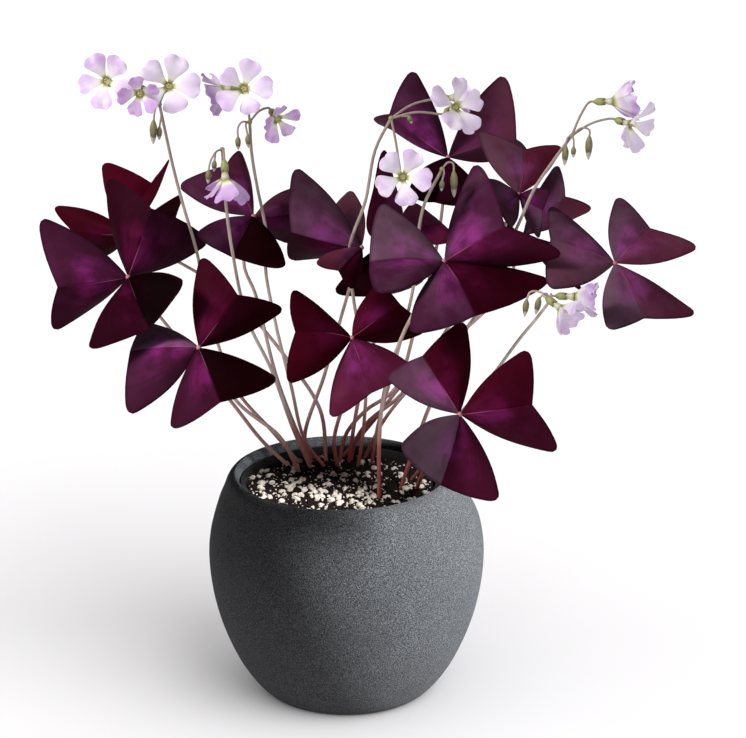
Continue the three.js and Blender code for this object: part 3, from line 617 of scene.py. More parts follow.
def leaf_finish(name, under):
    leaf = Finish(name, roughness=0.6, Specular_IOR_Level=0.01)
    uv, across, along = leaf.own_map()
    # The first two tones are the painted light of the two halves, and the red is partly painted light
    # that shines through a backlit leaflet.
    painted_light_a, painted_light_b, red_and_backlight_a, red_and_backlight_b = leaf.tones()
    beyond = leaf.ramp(across, [(0.495, 0.0), (0.505, 1.0)])
    aside = leaf.times(leaf.math("ABSOLUTE", leaf.minus(across, 0.5)), 2)
    cloud = leaf.grain(90, 3)
    streak = leaf.streaks(uv, 22, 3)
    pale = leaf.blend(beyond, painted_light_a, painted_light_b)
    red = leaf.blend(beyond, red_and_backlight_a, red_and_backlight_b)
    uneven = leaf.swing(cloud, leaf.plus(pale, 0.1))
    pale = leaf.plus(pale, leaf.times(uneven, 0.42), clamp=True)
    slant = leaf.plus(leaf.minus(along, leaf.times(aside, VEIN_SLANT)), leaf.times(cloud, 0.05))
    saw = leaf.math("FRACT", leaf.times(slant, VEIN_COUNT))
    from_vein = leaf.math("ABSOLUTE", leaf.minus(saw, 0.5))
    vein = leaf.ramp(from_vein, [(0.0, 1.0), (0.10, 0.0)], smooth=True)
    rib = leaf.ramp(aside, [(0.0, 1.0), (0.03, 0.0)], smooth=True)
    spread = leaf.plus(aside, leaf.swing(streak, 0.8))
    flame = leaf.ramp(along, [(0.05, 0.2), (0.28, 1.0), (0.55, 0.9), (0.9, 0.1)], smooth=True)
    for part in (leaf.ramp(spread, [(0.1, 1.0), (0.38, 0.8), (0.72, 0.0)], smooth=True),
                 leaf.ramp(cloud, [(0.38, 0.25), (0.58, 1.0)]),
                 leaf.ramp(streak, [(0.35, 0.45), (0.6, 1.1)]),
                 leaf.minus(1.0, leaf.times(red, 0.6))):
        flame = leaf.times(flame, part)
    # The body, red and flame run from painted shade to a painted sheen with pale, the painted light.
    body = leaf.blend(red, leaf.ramp(pale, BODY_BY_PAINTED_LIGHT), leaf.ramp(pale, RED_BY_PAINTED_LIGHT))
    body = leaf.blend(flame, body, leaf.ramp(pale, GLOW))
    if under:
        dull = leaf.times(leaf.ramp(cloud, [(0.3, 0.3), (0.7, 0.6)]), pale)
        body = leaf.blend(dull, body, CRIMSON)
    body = leaf.blend(leaf.times(vein, leaf.times(pale, 0.08)), body, VEIN_COLOUR)
    near_knob = leaf.ramp(along, [(0.0, 0.9), (0.22, 0.45), (0.5, 0.0)])
    body = leaf.blend(leaf.times(rib, near_knob), body, RIB_COLOUR)
    edge = leaf.math("MAXIMUM", leaf.ramp(aside, [(0.93, 0.0), (1.0, 0.6)]),
                     leaf.ramp(along, [(0.96, 0.0), (1.0, 0.6)]))
    leaf.colour(leaf.blend(edge, body, EDGE_COLOUR))
    relief = leaf.plus(leaf.times(vein, -0.12), leaf.times(rib, -0.8))
    leaf.bump(leaf.plus(relief, leaf.times(leaf.grain(900, 2), 0.2)), 0.22)
    return leaf.material


knob_finish = speckled("leaf_knob", 0.5, (700,), [(0.35, (0.30, 0.08, 0.10)),
                                                  (0.65, (0.45, 0.19, 0.20))])
LEAF_FINISHES = [leaf_finish("purple_leaf", False), knob_finish, leaf_finish("purple_leaf_under", True)]
print("finishes:", [finish.name for finish in LEAF_FINISHES])

# %% Build the leaves
# How lit the two halves of each leaflet are painted, from 0 for a black painted shade to 9 for a
# milky painted sheen.
PAINTED_LIGHT = {
    "left": ("54", "24", "02"), "left_back": ("32", "21", "00"), "upper_left": ("67", "74", "60"),
    "middle": ("73", "79", "82"), "big_right": ("86", "64", "62"), "top": ("65", "77", "11"),
    "upper_right": ("88", "77", "57"), "right": ("78", "77", "87"), "low_middle": ("23", "42", "56"),
    "low_left": ("85", "31", "40"), "front": ("73", "34", "95"), "right_back": ("79", "46", "34"),
    "middle_back": ("76", "75", "17"),
}
# How crimson they are, from 0 to 9, where they are at all: partly the redder hue of the leaf, and
# partly painted light that shines through a backlit leaflet.
RED_AND_PAINTED_BACKLIGHT = {
    "left_back": ("88", "88", "65"), "upper_left": ("04", "30", "05"), "middle": ("00", "54", "53"),
    "big_right": ("00", "02", "05"), "upper_right": ("27", "00", "00"), "right": ("02", "03", "03"),
    "low_middle": ("88", "68", "33"), "low_left": ("00", "35", "05"), "front": ("05", "53", "03"),
    "right_back": ("06", "00", "00"), "middle_back": ("55", "11", "11"),
}
KNOB_RADIUS = 1.3
for number, (name, (hub_seen, ahead, leaflets)) in enumerate(LEAVES.items()):
    at = places_about(hub_seen, ahead)
    shape = Shape()
    for which, (tip_a, notch, tip_b) in enumerate(leaflets):
        digits = PAINTED_LIGHT[name][which] + RED_AND_PAINTED_BACKLIGHT.get(name, ("00", "00", "00"))[which]
        tone = tuple(int(digit) / 9 for digit in digits)
        leaflet(shape, at(), at(tip_a), at(notch), at(tip_b), tone, number + 2.1 * which)
    ball(shape, at(), KNOB_RADIUS, KNOB)
    place_piece(f"{name}_leaf", shape.mesh(f"{name}_leaf", LEAF_FINISHES), "blade", f"leaf_{name}")
print("a leaf has", len(shape.faces), "faces")

# %% [markdown]
# ## Stems that follow a path
# A stem is a round rod along a smooth line, thicker at the soil. Geometry Nodes do that well: an
# edge line comes in with a thickness on every point, becomes a curve, and a small circle is swept
# along it. One tree serves every stem, however it bends, and its inputs have plain names.

# %% The tree that sweeps a rod


class GrowthTree(Network):
    """A tree that grows a shape from a mesh. Its inputs have names, and its end sets the finish."""

    def __init__(self, name, source, values, result):
        self.tree = bpy.data.node_groups.new(name, "GeometryNodeTree")
        new_socket = self.tree.interface.new_socket
        new_socket(source, in_out="INPUT", socket_type="NodeSocketGeometry")
        for title, value in values.items():
            kind = "NodeSocketInt" if isinstance(value, int) else "NodeSocketFloat"
            new_socket(title, in_out="INPUT", socket_type=kind).default_value = value
        new_socket("Finish", in_out="INPUT", socket_type="NodeSocketMaterial")
        new_socket(result, in_out="OUTPUT", socket_type="NodeSocketGeometry")
        self.given = self.add("NodeGroupInput").outputs

    def kept(self, name):
        """A number that the mesh carries on its corners."""
        return self.add("GeometryNodeInputNamedAttribute", Name=name).outputs["Attribute"]

    def random(self, low, high, seed):
        """A number for each point, drawn between low and high."""
        made = self.add("FunctionNodeRandomValue", Seed=seed)
        self.put(made.inputs[2], low)
        self.put(made.inputs[3], high)
        return made.outputs[1]

    def real(self, geometry):
        """The copies as real faces, because an export drops mere instances."""
        return self.add("GeometryNodeRealizeInstances", Geometry=geometry).outputs["Geometry"]

    def end(self, geometry):
        """Sets the finish, hands the shape out and gives the whole tree."""
        done = self.add("GeometryNodeSetMaterial", Geometry=geometry, Material=self.given["Finish"])
        self.put(self.add("NodeGroupOutput").inputs[0], done.outputs["Geometry"])
        print(self.tree.name, "takes", [socket.name for socket in self.given if socket.name])
        return self.tree


def rod_tree():
    rod = GrowthTree("rod along a line", "Line", {"Sides": 10, "Thickness": 1.0}, "Rods")
    curve = rod.add("GeometryNodeMeshToCurve", Mesh=rod.given["Line"])
    circle = rod.add("GeometryNodeCurvePrimitiveCircle", Resolution=rod.given["Sides"], Radius=1.0)
    sweep = rod.add("GeometryNodeCurveToMesh", Curve=curve.outputs["Curve"],
                    Profile_Curve=circle.outputs["Curve"], Fill_Caps=True,
                    Scale=rod.times(rod.kept("thick"), rod.given["Thickness"]))
    smooth = rod.add("GeometryNodeSetShadeSmooth", Geometry=sweep.outputs["Mesh"])
    return rod.end(rod.real(smooth.outputs["Geometry"]))


ROD_TREE = rod_tree()

# %% Run a tree on a mesh and keep the result as a plain mesh


def grown(name, mesh, tree, values):
    """The mesh that the tree makes from the given mesh, with the tree's inputs set by name."""
    carrier = bpy.data.objects.new(name + "_carrier", mesh)
    bpy.context.scene.collection.objects.link(carrier)
    modifier = carrier.modifiers.new(name, "NODES")
    modifier.node_group = tree
    for socket in tree.interface.items_tree:
        if socket.name in values:
            modifier[socket.identifier] = values[socket.name]
    bpy.context.view_layer.update()
    graph = bpy.context.evaluated_depsgraph_get()
    result = bpy.data.meshes.new_from_object(carrier.evaluated_get(graph), depsgraph=graph)
    carrier.modifiers.remove(modifier)
    bpy.data.objects.remove(carrier)
    result.name = name
    return result


def rods(name, runs, finish):
    """Round rods along runs. A run is a list of mm places and a radius in mm at each."""
    mesh = bpy.data.meshes.new(name)
    points, edges, radii = [], [], []
    for places, thick in runs:
        edges += [(len(points) + i, len(points) + i + 1) for i in range(len(places) - 1)]
        points += [place * MM for place in places]
        radii += [radius * MM for radius in thick]
    mesh.from_pydata(points, edges, [])
    mesh.attributes.new("thick", "FLOAT", "POINT").data.foreach_set("value", radii)
    return grown(name, mesh, ROD_TREE, {"Finish": finish})


# %% [markdown]
# ## The line that a stem takes
# The line starts at the root, passes the places in the plan and ends under the knob. A smooth
# curve through uneven places likes to overshoot. Centripetal spacing, where a longer gap gets
# more time, but less than its whole share, keeps the curve calm.

# %% Smooth lines through places
SPLINE_STEPS = 16
SHORTEST = 1e-6


def smooth_line(places, count):
    """Evenly spaced places on a smooth line through the given ones."""
    padded = [places[0] * 2 - places[1], *places, places[-1] * 2 - places[-2]]
    dense = []
    for p0, p1, p2, p3 in zip(padded, padded[1:], padded[2:], padded[3:]):
        t1 = max((p1 - p0).length, SHORTEST) ** 0.5
        t2 = t1 + max((p2 - p1).length, SHORTEST) ** 0.5
        t3 = t2 + max((p3 - p2).length, SHORTEST) ** 0.5
        for i in range(SPLINE_STEPS):
            t = t1 + (t2 - t1) * i / SPLINE_STEPS
            a1 = p0.lerp(p1, t / t1)
            a2 = p1.lerp(p2, (t - t1) / (t2 - t1))
            a3 = p2.lerp(p3, (t - t2) / (t3 - t2))
            b1 = a1.lerp(a2, t / t2)
            b2 = a2.lerp(a3, (t - t1) / (t3 - t1))
            dense.append(b1.lerp(b2, (t - t1) / (t2 - t1)))
    dense.append(places[-1].copy())
    lengths = [0]
    for a, b in zip(dense, dense[1:]):
        lengths.append(lengths[-1] + (b - a).length)
    even, k = [], 0
    for i in range(count + 1):
        want = lengths[-1] * i / count
        while k < len(dense) - 2 and lengths[k + 1] < want:
            k += 1
        share = (want - lengths[k]) / max(lengths[k + 1] - lengths[k], SHORTEST)
        even.append(dense[k].lerp(dense[k + 1], min(1, share)))
    return even


# %% From the soil up to the end of a stem
LINER_RADIUS = 49.5
SOIL_TOP, SOIL_CROWN = 110.3, 2.5
MOUTH_SHIFT = -3
ROOTED_DEPTH = 8
FOOT_SWELL = 1.15


def soil_height(x, y):
    return SOIL_TOP + SOIL_CROWN * (1 - (math.hypot(x - MOUTH_SHIFT, y) / LINER_RADIUS) ** 2)


def stem_line(root, passed, end, count):
    """The line of a stem from its buried foot to its end. Depth changes evenly with height seen."""
    foot = Vector((*root, soil_height(*root)))
    foot_up, foot_toward = foot.dot(UP_SEEN), foot.dot(TOWARD_SEEN)
    end_up, end_toward = end.dot(UP_SEEN), end.dot(TOWARD_SEEN)
    places = []
    for across, up, *nearer in passed:
        share = min(1, max(0, (up - foot_up) / (end_up - foot_up)))
        toward = foot_toward + (end_toward - foot_toward) * share + sum(nearer)
        places.append(seen(across, up, toward))
    line = smooth_line([foot, *places, end], count)
    lean = (line[1] - line[0]).normalized()
    return [foot - lean * ROOTED_DEPTH, *line]


def tapered(line, radius, loss):
    """A radius for each place of the line, which is thickest at its foot."""
    return [radius * (FOOT_SWELL - loss * i / len(line)) for i in range(len(line))]


# %% [markdown]
# ## The colour of the stems
# Near the soil the stems are a raw reddish brown, and those at the left are tan there. They fade
# to taupe, and the flower stalks end in a greenish tan. Height and side decide, so the finish
# reads the object's own coordinates through ramps, and a stretched noise adds long fibres.

# %% Stem finishes
TAN_FOOT, FIBRE_COLOUR = (0.42, 0.25, 0.21), (0.10, 0.04, 0.03)
FADE_FROM, FADE_LENGTH = 0.105, 0.19


def stem_finish(name, low, middle, high):
    stem = Finish(name, roughness=0.48, Specular_IOR_Level=0.4)
    place = stem.add("ShaderNodeSeparateXYZ", Vector=stem.place)
    share = stem.math("DIVIDE", stem.minus(place.outputs["Z"], FADE_FROM), FADE_LENGTH, clamp=True)
    share = stem.plus(share, stem.swing(stem.grain(30), 0.5))
    side = stem.plus(stem.times(place.outputs["X"], 3), 0.5)
    foot = stem.ramp(side, [(0.40, TAN_FOOT), (0.445, low)])
    upper = stem.ramp(share, [(0.36, middle), (0.95, high)])
    colour = stem.tint(foot, upper, share, [(0.12, 0.0), (0.36, 1.0)])
    fibres = stem.fibres(900, 2, 0.08)
    stem.colour(stem.tint(colour, FIBRE_COLOUR, fibres, [(0.35, 0.0), (0.7, 0.35)]))
    stem.bump(fibres, 0.12)
    return stem.material


LEAF_STEM = stem_finish("leaf_stem", (0.29, 0.062, 0.055), (0.60, 0.45, 0.41), (0.46, 0.33, 0.30))
FLOWER_STEM = stem_finish("flower_stem", (0.31, 0.085, 0.070), (0.62, 0.53, 0.47),
                          (0.31, 0.245, 0.205))

# %% Build the leaf stems
LEAF_STEM_RADIUS = 0.95
for name, (root, passed) in LEAF_STEMS.items():
    hub_seen, ahead, _ = LEAVES[name]
    line = stem_line(root, passed, places_about(hub_seen, ahead)(), 40)
    mesh = rods(f"{name}_leaf_stem", [(line, tapered(line, LEAF_STEM_RADIUS, 0.3))], LEAF_STEM)
    place_piece(f"{name}_leaf_stem", mesh, "leaf_stalk", f"leaf_stalk_{name}")
print("a leaf stem has", len(mesh.polygons), "faces")

# %% [markdown]
# ## Flower stalks, cups and buds
# Each stalk ends in a crown from which the flower stems part. Every open flower sits in a green
# cup of five pointed sepals, and the buds hang down, green with a pale tip. Stems come from the
# same tree. Cups and buds are turned forms with a map along their length for the colour.

# %% Forms turned about an axis


def turned_faces(rings, sides):
    """Faces over rings of corners, and the two end corners that follow the rings."""
    foot, top = rings * sides, rings * sides + 1
    faces = []
    for side in range(sides):
        after = (side + 1) % sides
        for ring in range(rings - 1):
            a, b = ring * sides, (ring + 1) * sides
            faces.append([a + side, a + after, b + after, b + side])
        faces.append([foot, after, side])
        faces.append([top, foot - sides + side, foot - sides + after])
    return faces


def axes_about(axis):
    """Two directions square to the axis and to each other."""
    across = Vector((1, 0.1, 0.2))
    across = (across - axis * across.dot(axis)).normalized()
    return across, axis.cross(across)


def turned_rod(shape, foot, axis, length, profile, sides, finish, points=0, depth=0):
    """Adds a closed form turned about an axis. With points, its last ring is cut into that many."""
    across, sideways = axes_about(axis)
    corners, uvs = [], []
    for share, radius in profile:
        cut = depth if points and share == profile[-1][0] else 0
        for side in range(sides):
            turn = 2 * math.pi * side / sides
            out = across * math.cos(turn) + sideways * math.sin(turn)
            rise = share * length + cut * abs(math.cos(turn * points / 2)) ** 1.5
            corners.append(foot + axis * rise + out * radius)
            uvs.append((side / sides, share))
    for share in (profile[0][0], profile[-1][0]):
        corners.append(foot + axis * share * length)
        uvs.append((0.5, share))
    shape.add(corners, outward(corners, turned_faces(len(profile), sides)), uvs, finish=finish)


# %% Cup and bud finishes


def green_finish(name, stops):
    green = Finish(name, roughness=0.5)
    along = green.own_map()[2]
    colour = green.ramp(green.plus(along, green.swing(green.grain(500), 0.3)), stops)
    ribs = green.fibres(1400, 2, 0.15)
    green.colour(green.tint(colour, (0.10, 0.12, 0.03), ribs, [(0.4, 0.0), (0.75, 0.3)]))
    green.bump(ribs, 0.1)
    return green.material


CUP = green_finish("green_cup", [(0.0, (0.25, 0.27, 0.09)), (0.6, (0.30, 0.33, 0.11)),
                                 (1.0, (0.17, 0.09, 0.05))])
BUD = green_finish("green_bud", [(0.0, (0.20, 0.19, 0.08)), (0.4, (0.15, 0.135, 0.06)),
                                 (0.62, (0.08, 0.055, 0.035)), (0.75, (0.40, 0.36, 0.27)),
                                 (1.0, (0.52, 0.47, 0.43))])

# %% [markdown]
# ## The petals
# Five silky lilac petals widen from a narrow base, end in a round, faintly notched edge and show
# fine darker lines that run lengthwise. One petal is a small grid that is bent by a few sines.
# A second tree sets five of them round the throat, and makes each a little longer or shorter and
# lets it lean forward or back, because no real flower is quite even. The petals of a flower that
# has opened less are fuller, so they lap like a skirt.

# %% One petal
HALF_OPEN = math.radians(55)
THROAT_RADIUS, BASE_HALF = 2.0, 1.2
PETAL_ROWS, PETAL_COLUMNS = 13, 11
# Where along a petal it is widest and begins to round off, and how much narrower its end is.
WIDEST_AT, ROUND_FROM, ROUNDING = 0.82, 0.75, 0.16
# The arch, the drawn back corners, the notch and the frill, as shares of its length.
ARCH, DRAWN_BACK, NOTCH, FRILL = 0.1, 0.15, 0.06, 0.05


def petal_grid(length, opening, wave):
    """One petal of a bloom that faces +Z with its throat at the origin. It grows along +X."""
    grid, uvs = [], []
    fullness, narrowing, lapping = (0.56, 0.9, 0.12) if opening < HALF_OPEN else (0.40, 1.7, 0.07)
    widest = fullness * length * math.sin(opening)
    for row in range(PETAL_ROWS):
        along = row / (PETAL_ROWS - 1)
        out = THROAT_RADIUS + (length - THROAT_RADIUS) * math.sin(opening) * along
        rise = length * (math.cos(opening) * along + ARCH * math.sin(math.pi * along))
        swell = math.sin(min(1, along / WIDEST_AT) * math.pi / 2) ** narrowing
        half = BASE_HALF + (widest - BASE_HALF) * swell
        round_off = 1 - ROUNDING * max(0, (along - ROUND_FROM) / (1 - ROUND_FROM)) ** 2
        for column in range(PETAL_COLUMNS):
            aside = 2 * column / (PETAL_COLUMNS - 1) - 1
            drawn = DRAWN_BACK * length * along ** 3 * abs(aside) ** 3
            notch = NOTCH * length * along ** 8 * (1 - abs(aside)) ** 2
            frill = FRILL * length * along ** 3 * math.sin(5 * aside + wave)
            lap = lapping * length * aside * math.sin(math.pi * min(1, along * 0.85))
            grid.append(Vector((out - drawn - notch, aside * half * round_off, rise + lap + frill)))
            uvs.append((0.5 + aside / 2, along))
    return grid, uvs


# %% The tree that sets five petals round a throat
PETAL_COUNT = 5


def ring_tree():
    ring = GrowthTree("petals round a throat", "Petal", {
        "Count": PETAL_COUNT, "Turn": 0.0, "Shortest": 0.88, "Longest": 1.06, "Lean": 0.2,
        "Seed": 1}, "Bloom")
    given = ring.given
    points = ring.add("GeometryNodePoints", Count=given["Count"])
    number = ring.add("GeometryNodeInputIndex").outputs["Index"]
    step = ring.math("DIVIDE", 2 * math.pi, given["Count"])
    turn = ring.plus(ring.times(number, step), given["Turn"])
    lean = ring.times(ring.random(-1.0, 1.0, ring.plus(given["Seed"], 100)), given["Lean"])
    way = ring.add("ShaderNodeCombineXYZ", Y=lean, Z=turn)
    size = ring.random(given["Shortest"], given["Longest"], given["Seed"])
    copies = ring.add("GeometryNodeInstanceOnPoints", Points=points.outputs["Points"],
                      Instance=given["Petal"], Rotation=way.outputs["Vector"], Scale=size)
    return ring.end(ring.real(copies.outputs["Instances"]))


RING_TREE = ring_tree()

# %% Petal, tube and anther finishes


def petal_finish(name, pale, deep, rim):
    petal = Finish(name, roughness=0.5, Sheen_Weight=0.2, Specular_IOR_Level=0.3)
    uv, _, along = petal.own_map()
    paler_tint_and_painted_light, deeper_tint_and_painted_shade = petal.tones()[:2]
    streak, patch = petal.streaks(uv, 26, 1.6), petal.grain(120, 2)
    colour = petal.tint(pale, deep, streak, [(0.38, 0.0), (0.62, 1.0)])
    colour = petal.tint(colour, rim, along, [(0.55, 0.0), (1.0, 0.8)], smooth=True)
    colour = petal.tint(colour, (0.84, 0.78, 0.87), patch, [(0.34, 0.7), (0.48, 0.0)])
    colour = petal.tint(colour, (0.43, 0.22, 0.53), patch, [(0.50, 0.0), (0.66, 0.85)])
    colour = petal.tint(colour, (0.82, 0.77, 0.80), along, [(0.15, 0.75), (0.75, 0.0)], smooth=True)
    # The paler and deeper tones are the bloom's wash: partly its own tint, and partly painted light,
    # near white for a bloom washed out by strong light and deep lilac for one in shade.
    colour = petal.blend(petal.times(deeper_tint_and_painted_shade, 0.9), colour, (0.50, 0.28, 0.58))
    colour = petal.blend(petal.times(paler_tint_and_painted_light, 0.7), colour, (0.74, 0.67, 0.77))
    colour = petal.tint(colour, (0.80, 0.76, 0.62), along, [(0.10, 1.0), (0.32, 0.0)], smooth=True)
    colour = petal.tint(colour, (0.28, 0.30, 0.08), along, [(0.0, 1.0), (0.16, 0.0)], smooth=True)
    petal.colour(colour)
    petal.bump(streak, 0.1)
    return petal.material


def tube_finish():
    tube = Finish("bloom_tube", roughness=0.5)
    colour = tube.ramp(tube.own_map()[2], [(0.0, (0.36, 0.38, 0.16)), (0.6, (0.62, 0.58, 0.45)),
                                           (1.0, (0.24, 0.26, 0.07))])
    lines = tube.fibres(900, 2, 0.2)
    tube.colour(tube.tint(colour, (0.30, 0.26, 0.20), lines, [(0.4, 0.0), (0.7, 0.3)]))
    return tube.material


LILAC = petal_finish("lilac_petal", (0.60, 0.44, 0.67), (0.47, 0.28, 0.57), (0.57, 0.37, 0.66))
anther_finish = speckled("anthers", 0.7, (2500,), [(0.35, (0.50, 0.40, 0.06)),
                                                  (0.65, (0.72, 0.62, 0.18))], (4000, 2, 0.05))
TUBE_FINISHES = [tube_finish(), anther_finish]

# %% One bloom
TUBE_LENGTH, TUBE_OVERLAP = 4.5, 0.3
TUBE_PROFILE = [(0, 1.25), (0.4, 1.55), (0.8, 1.95), (1.0, 2.3), (0.98, 1.9), (0.6, 1.2)]
PETAL_THICKNESS = 0.3
ANTHER_COUNT, ANTHER_RADIUS = 5, 0.42


def joined(name, meshes):
    """One mesh from several, each with its own finishes."""
    objects = [bpy.data.objects.new(name, mesh) for mesh in meshes]
    for piece in objects:
        bpy.context.scene.collection.objects.link(piece)
    with bpy.context.temp_override(active_object=objects[0], selected_editable_objects=objects):
        bpy.ops.object.join()
    mesh = objects[0].data
    bpy.data.objects.remove(objects[0])
    mesh.name = name
    return mesh


def bloom_mesh(name, throat, axis, length, opening, turn, tint_and_painted_light, seed):
    """Five petals, the tube behind them and the anthers in the throat, as one mesh.

    The wash, partly the bloom's own tint and partly painted light, runs from -1 for the deepest
    lilac, painted shade on a bloom in shadow, to 1 for nearly white, a bloom painted washed out by
    strong light.
    """
    across, sideways = axes_about(axis)
    to_place = Matrix((across, sideways, axis)).transposed().to_4x4()
    to_place.translation = throat * MM
    grid, uvs = petal_grid(length, opening, 2 + seed)
    corners, faces = sheet_solid(grid, PETAL_COLUMNS, PETAL_THICKNESS)
    tone = (max(0, tint_and_painted_light), max(0, -tint_and_painted_light), 0, 0)
    one = make_mesh("petal", corners, faces, uvs * 2, [tone] * len(corners))
    petals = grown(name, one, RING_TREE, {"Turn": turn, "Seed": seed, "Finish": LILAC})
    petals.transform(to_place)
    shape = Shape()
    tube = TUBE_LENGTH - TUBE_OVERLAP
    turned_rod(shape, throat - axis * tube, axis, tube, TUBE_PROFILE, 20, 0)
    for k in range(ANTHER_COUNT):
        angle = turn + 2 * math.pi * k / ANTHER_COUNT + 0.6
        out = across * math.cos(angle) + sideways * math.sin(angle)
        ball(shape, throat + out * 0.8 + axis * (0.3 + 0.5 * (k % 2)), ANTHER_RADIUS, 1, 4, 8)
    return joined(name, [petals, shape.mesh(name + "_tube", TUBE_FINISHES)])


# %% A flower stem with its cup, and a bud on its stem
CUP_LENGTH, CUP_POINTS, CUP_CUT = 5, 5, 1.6
CUP_PROFILE = [(0, 0.7), (0.15, 1.3), (0.4, 1.9), (0.7, 1.95), (0.9, 1.8)]
BUD_PROFILE = [(0.02, 0.62), (0.2, 0.95), (0.4, 1), (0.65, 0.8), (0.85, 0.5)]
FLOWER_STEM_RADIUS, BUD_STEM_RADIUS = 0.6, 0.5


def add_cup(shape, crown, throat, axis):
    """Adds the cup behind a bloom, and returns the line of the stem that carries it."""
    cup_foot = throat - axis * TUBE_LENGTH - axis * CUP_LENGTH
    turned_rod(shape, cup_foot, axis, CUP_LENGTH, CUP_PROFILE, 20, 0, CUP_POINTS, CUP_CUT)
    before = cup_foot - axis * 2
    bend = crown.lerp(before, 0.5) + Vector((0, 0, 2))
    return smooth_line([crown, bend, before, cup_foot + axis * 0.5], 14)


def add_bud(shape, places, length):
    """Adds a bud that hangs from the last place, and returns the line of its stem."""
    stem = smooth_line(places, 12)
    down = Vector((0, 0, -1)).lerp((stem[-1] - stem[-2]).normalized(), 0.3).normalized()
    thick = 0.9 + 0.09 * length
    profile = [(-0.1, 0.5), *[(share, radius * thick) for share, radius in BUD_PROFILE], (1, 0.25)]
    turned_rod(shape, places[-1], down, length, profile, 12, 1)
    return stem


# %% Build the flower stalks
FLOWER_STALK_RADIUS = 0.85


def direction(facing):
    across, up, toward = facing
    return (Vector((across, 0, 0)) + UP_SEEN * up + TOWARD_SEEN * toward).normalized()


bloom_number = 0
for name, (root, passed, crown_seen, ahead, blooms, buds) in FLOWER_STALKS.items():
    at = places_about(crown_seen, ahead)
    line = stem_line(root, passed, at(), 44)
    runs = [(line, tapered(line, FLOWER_STALK_RADIUS, 0.25))]
    shape = Shape()
    ball(shape, at(), KNOB_RADIUS)
    for throat, facing, length, opening, turn, tint_and_painted_light in blooms:
        bloom_number += 1
        throat, axis = at(throat), direction(facing)
        stem = add_cup(shape, at(), throat, axis)
        runs.append((stem, [FLOWER_STEM_RADIUS] * len(stem)))
        mesh = bloom_mesh(f"{name}_bloom_{bloom_number}", throat, axis, length,
                          math.radians(opening), math.radians(turn), tint_and_painted_light, bloom_number)
        place_piece(mesh.name, mesh, "petals", f"bloom_{name}_{bloom_number}")
    for passed_by, end, length in buds:
        stem = add_bud(shape, [at(), *[at(place) for place in passed_by], at(end)], length)
        runs.append((stem, [BUD_STEM_RADIUS] * len(stem)))
    stems = rods(f"{name}_flower_stalk", runs, FLOWER_STEM)
    mesh = joined(f"{name}_flower_stalk", [stems, shape.mesh("cups", [CUP, BUD])])
    place_piece(mesh.name, mesh, "flower_stalk", f"flower_stalk_{name}")
print("blooms:", bloom_number, "faces in the last stalk:", len(mesh.polygons))

# %% [markdown]
# ## The pot and its liner
# The pot is round, so its half section says everything. The section is smoothed and turned about
# the upright axis. The mouth sits three millimetres left of the belly's axis, as it does on this
# slightly uneven pot. A thin plastic liner stands inside, a little below the lip.

# %% Turn a section about the upright axis
POT_HEIGHT, POT_FLOOR = 118, 8
SHIFT_FROM = 92


def mouth_shift(height):
    """How far the pot's axis has moved aside at a height, in mm."""
    share = min(1, max(0, (height - SHIFT_FROM) / (POT_HEIGHT - SHIFT_FROM)))
    return MOUTH_SHIFT * share * share * (3 - 2 * share)


def ring_corners(radius, height, middle, sides):
    """Corners on a level circle about the upright line at x = middle."""
    turns = [2 * math.pi * side / sides for side in range(sides)]
    around = [(middle + radius * math.cos(turn), radius * math.sin(turn)) for turn in turns]
    return [Vector((x, y, height)) for x, y in around]


def turned(section, sides, middle_at):
    """A closed turned form from a section of (radius, height), which starts and ends on the axis."""
    rings = section[1:-1]
    corners = []
    for radius, height in rings:
        corners += ring_corners(radius, height, middle_at(height), sides)
    corners += [Vector((middle_at(height), 0, height)) for _, height in (section[0], section[-1])]
    return corners, outward(corners, turned_faces(len(rings), sides))


# %% The pot
POT_OUTSIDE = [(42, 0), (44.5, 1.3), (49.5, 6.5), (56, 16), (61.8, 28), (66.5, 41), (69.8, 55),
               (71.5, 70), (71.2, 82), (68.8, 94), (64.5, 104), (61, 110), (58.5, 115),
               (56.5, 117.5), (54.5, POT_HEIGHT), (53, 116.5), (52.8, 112), (60, 99), (65.5, 82),
               (65.8, 68), (62, 47), (52.5, 23), (43, 10.5), (38, POT_FLOOR)]
SECTION_STEP = 2.2
ROUND_SIDES = 160


def smooth_section(section, step):
    """The section with more places, on a smooth line through the given ones."""
    places = [Vector((radius, 0, height)) for radius, height in section]
    length = sum((b - a).length for a, b in zip(places, places[1:]))
    return [(place.x, place.z) for place in smooth_line(places, int(length / step))]


def pot_finish():
    pot = Finish("sandy_charcoal", roughness=0.85, Specular_IOR_Level=0.2)
    sand, fine, patch = pot.grain(1900, 5), pot.grain(4200, 2), pot.grain(30, 3)
    stone = pot.ramp(sand, [(0.36, (0.006, 0.0055, 0.006)), (0.5, (0.036, 0.036, 0.039)),
                            (0.64, (0.105, 0.108, 0.114))])
    stone = pot.tint(stone, (0.24, 0.245, 0.255), fine, [(0.6, 0.0), (0.76, 0.6)])
    pot.colour(pot.tint(stone, (0.030, 0.030, 0.033), patch, [(0.35, 0.0), (0.7, 0.35)]))
    pot.bump(pot.plus(sand, pot.times(fine, 0.5)), 0.35)
    return pot.material


section = [(0, 0), *smooth_section(POT_OUTSIDE, SECTION_STEP), (0, POT_FLOOR)]
corners, faces = turned(section, ROUND_SIDES, mouth_shift)
pot_mesh = make_mesh("speckled_pot", corners, faces, finishes=[pot_finish()])
place_piece("speckled_pot", pot_mesh, "pot", "pot")
print("pot faces:", len(faces))

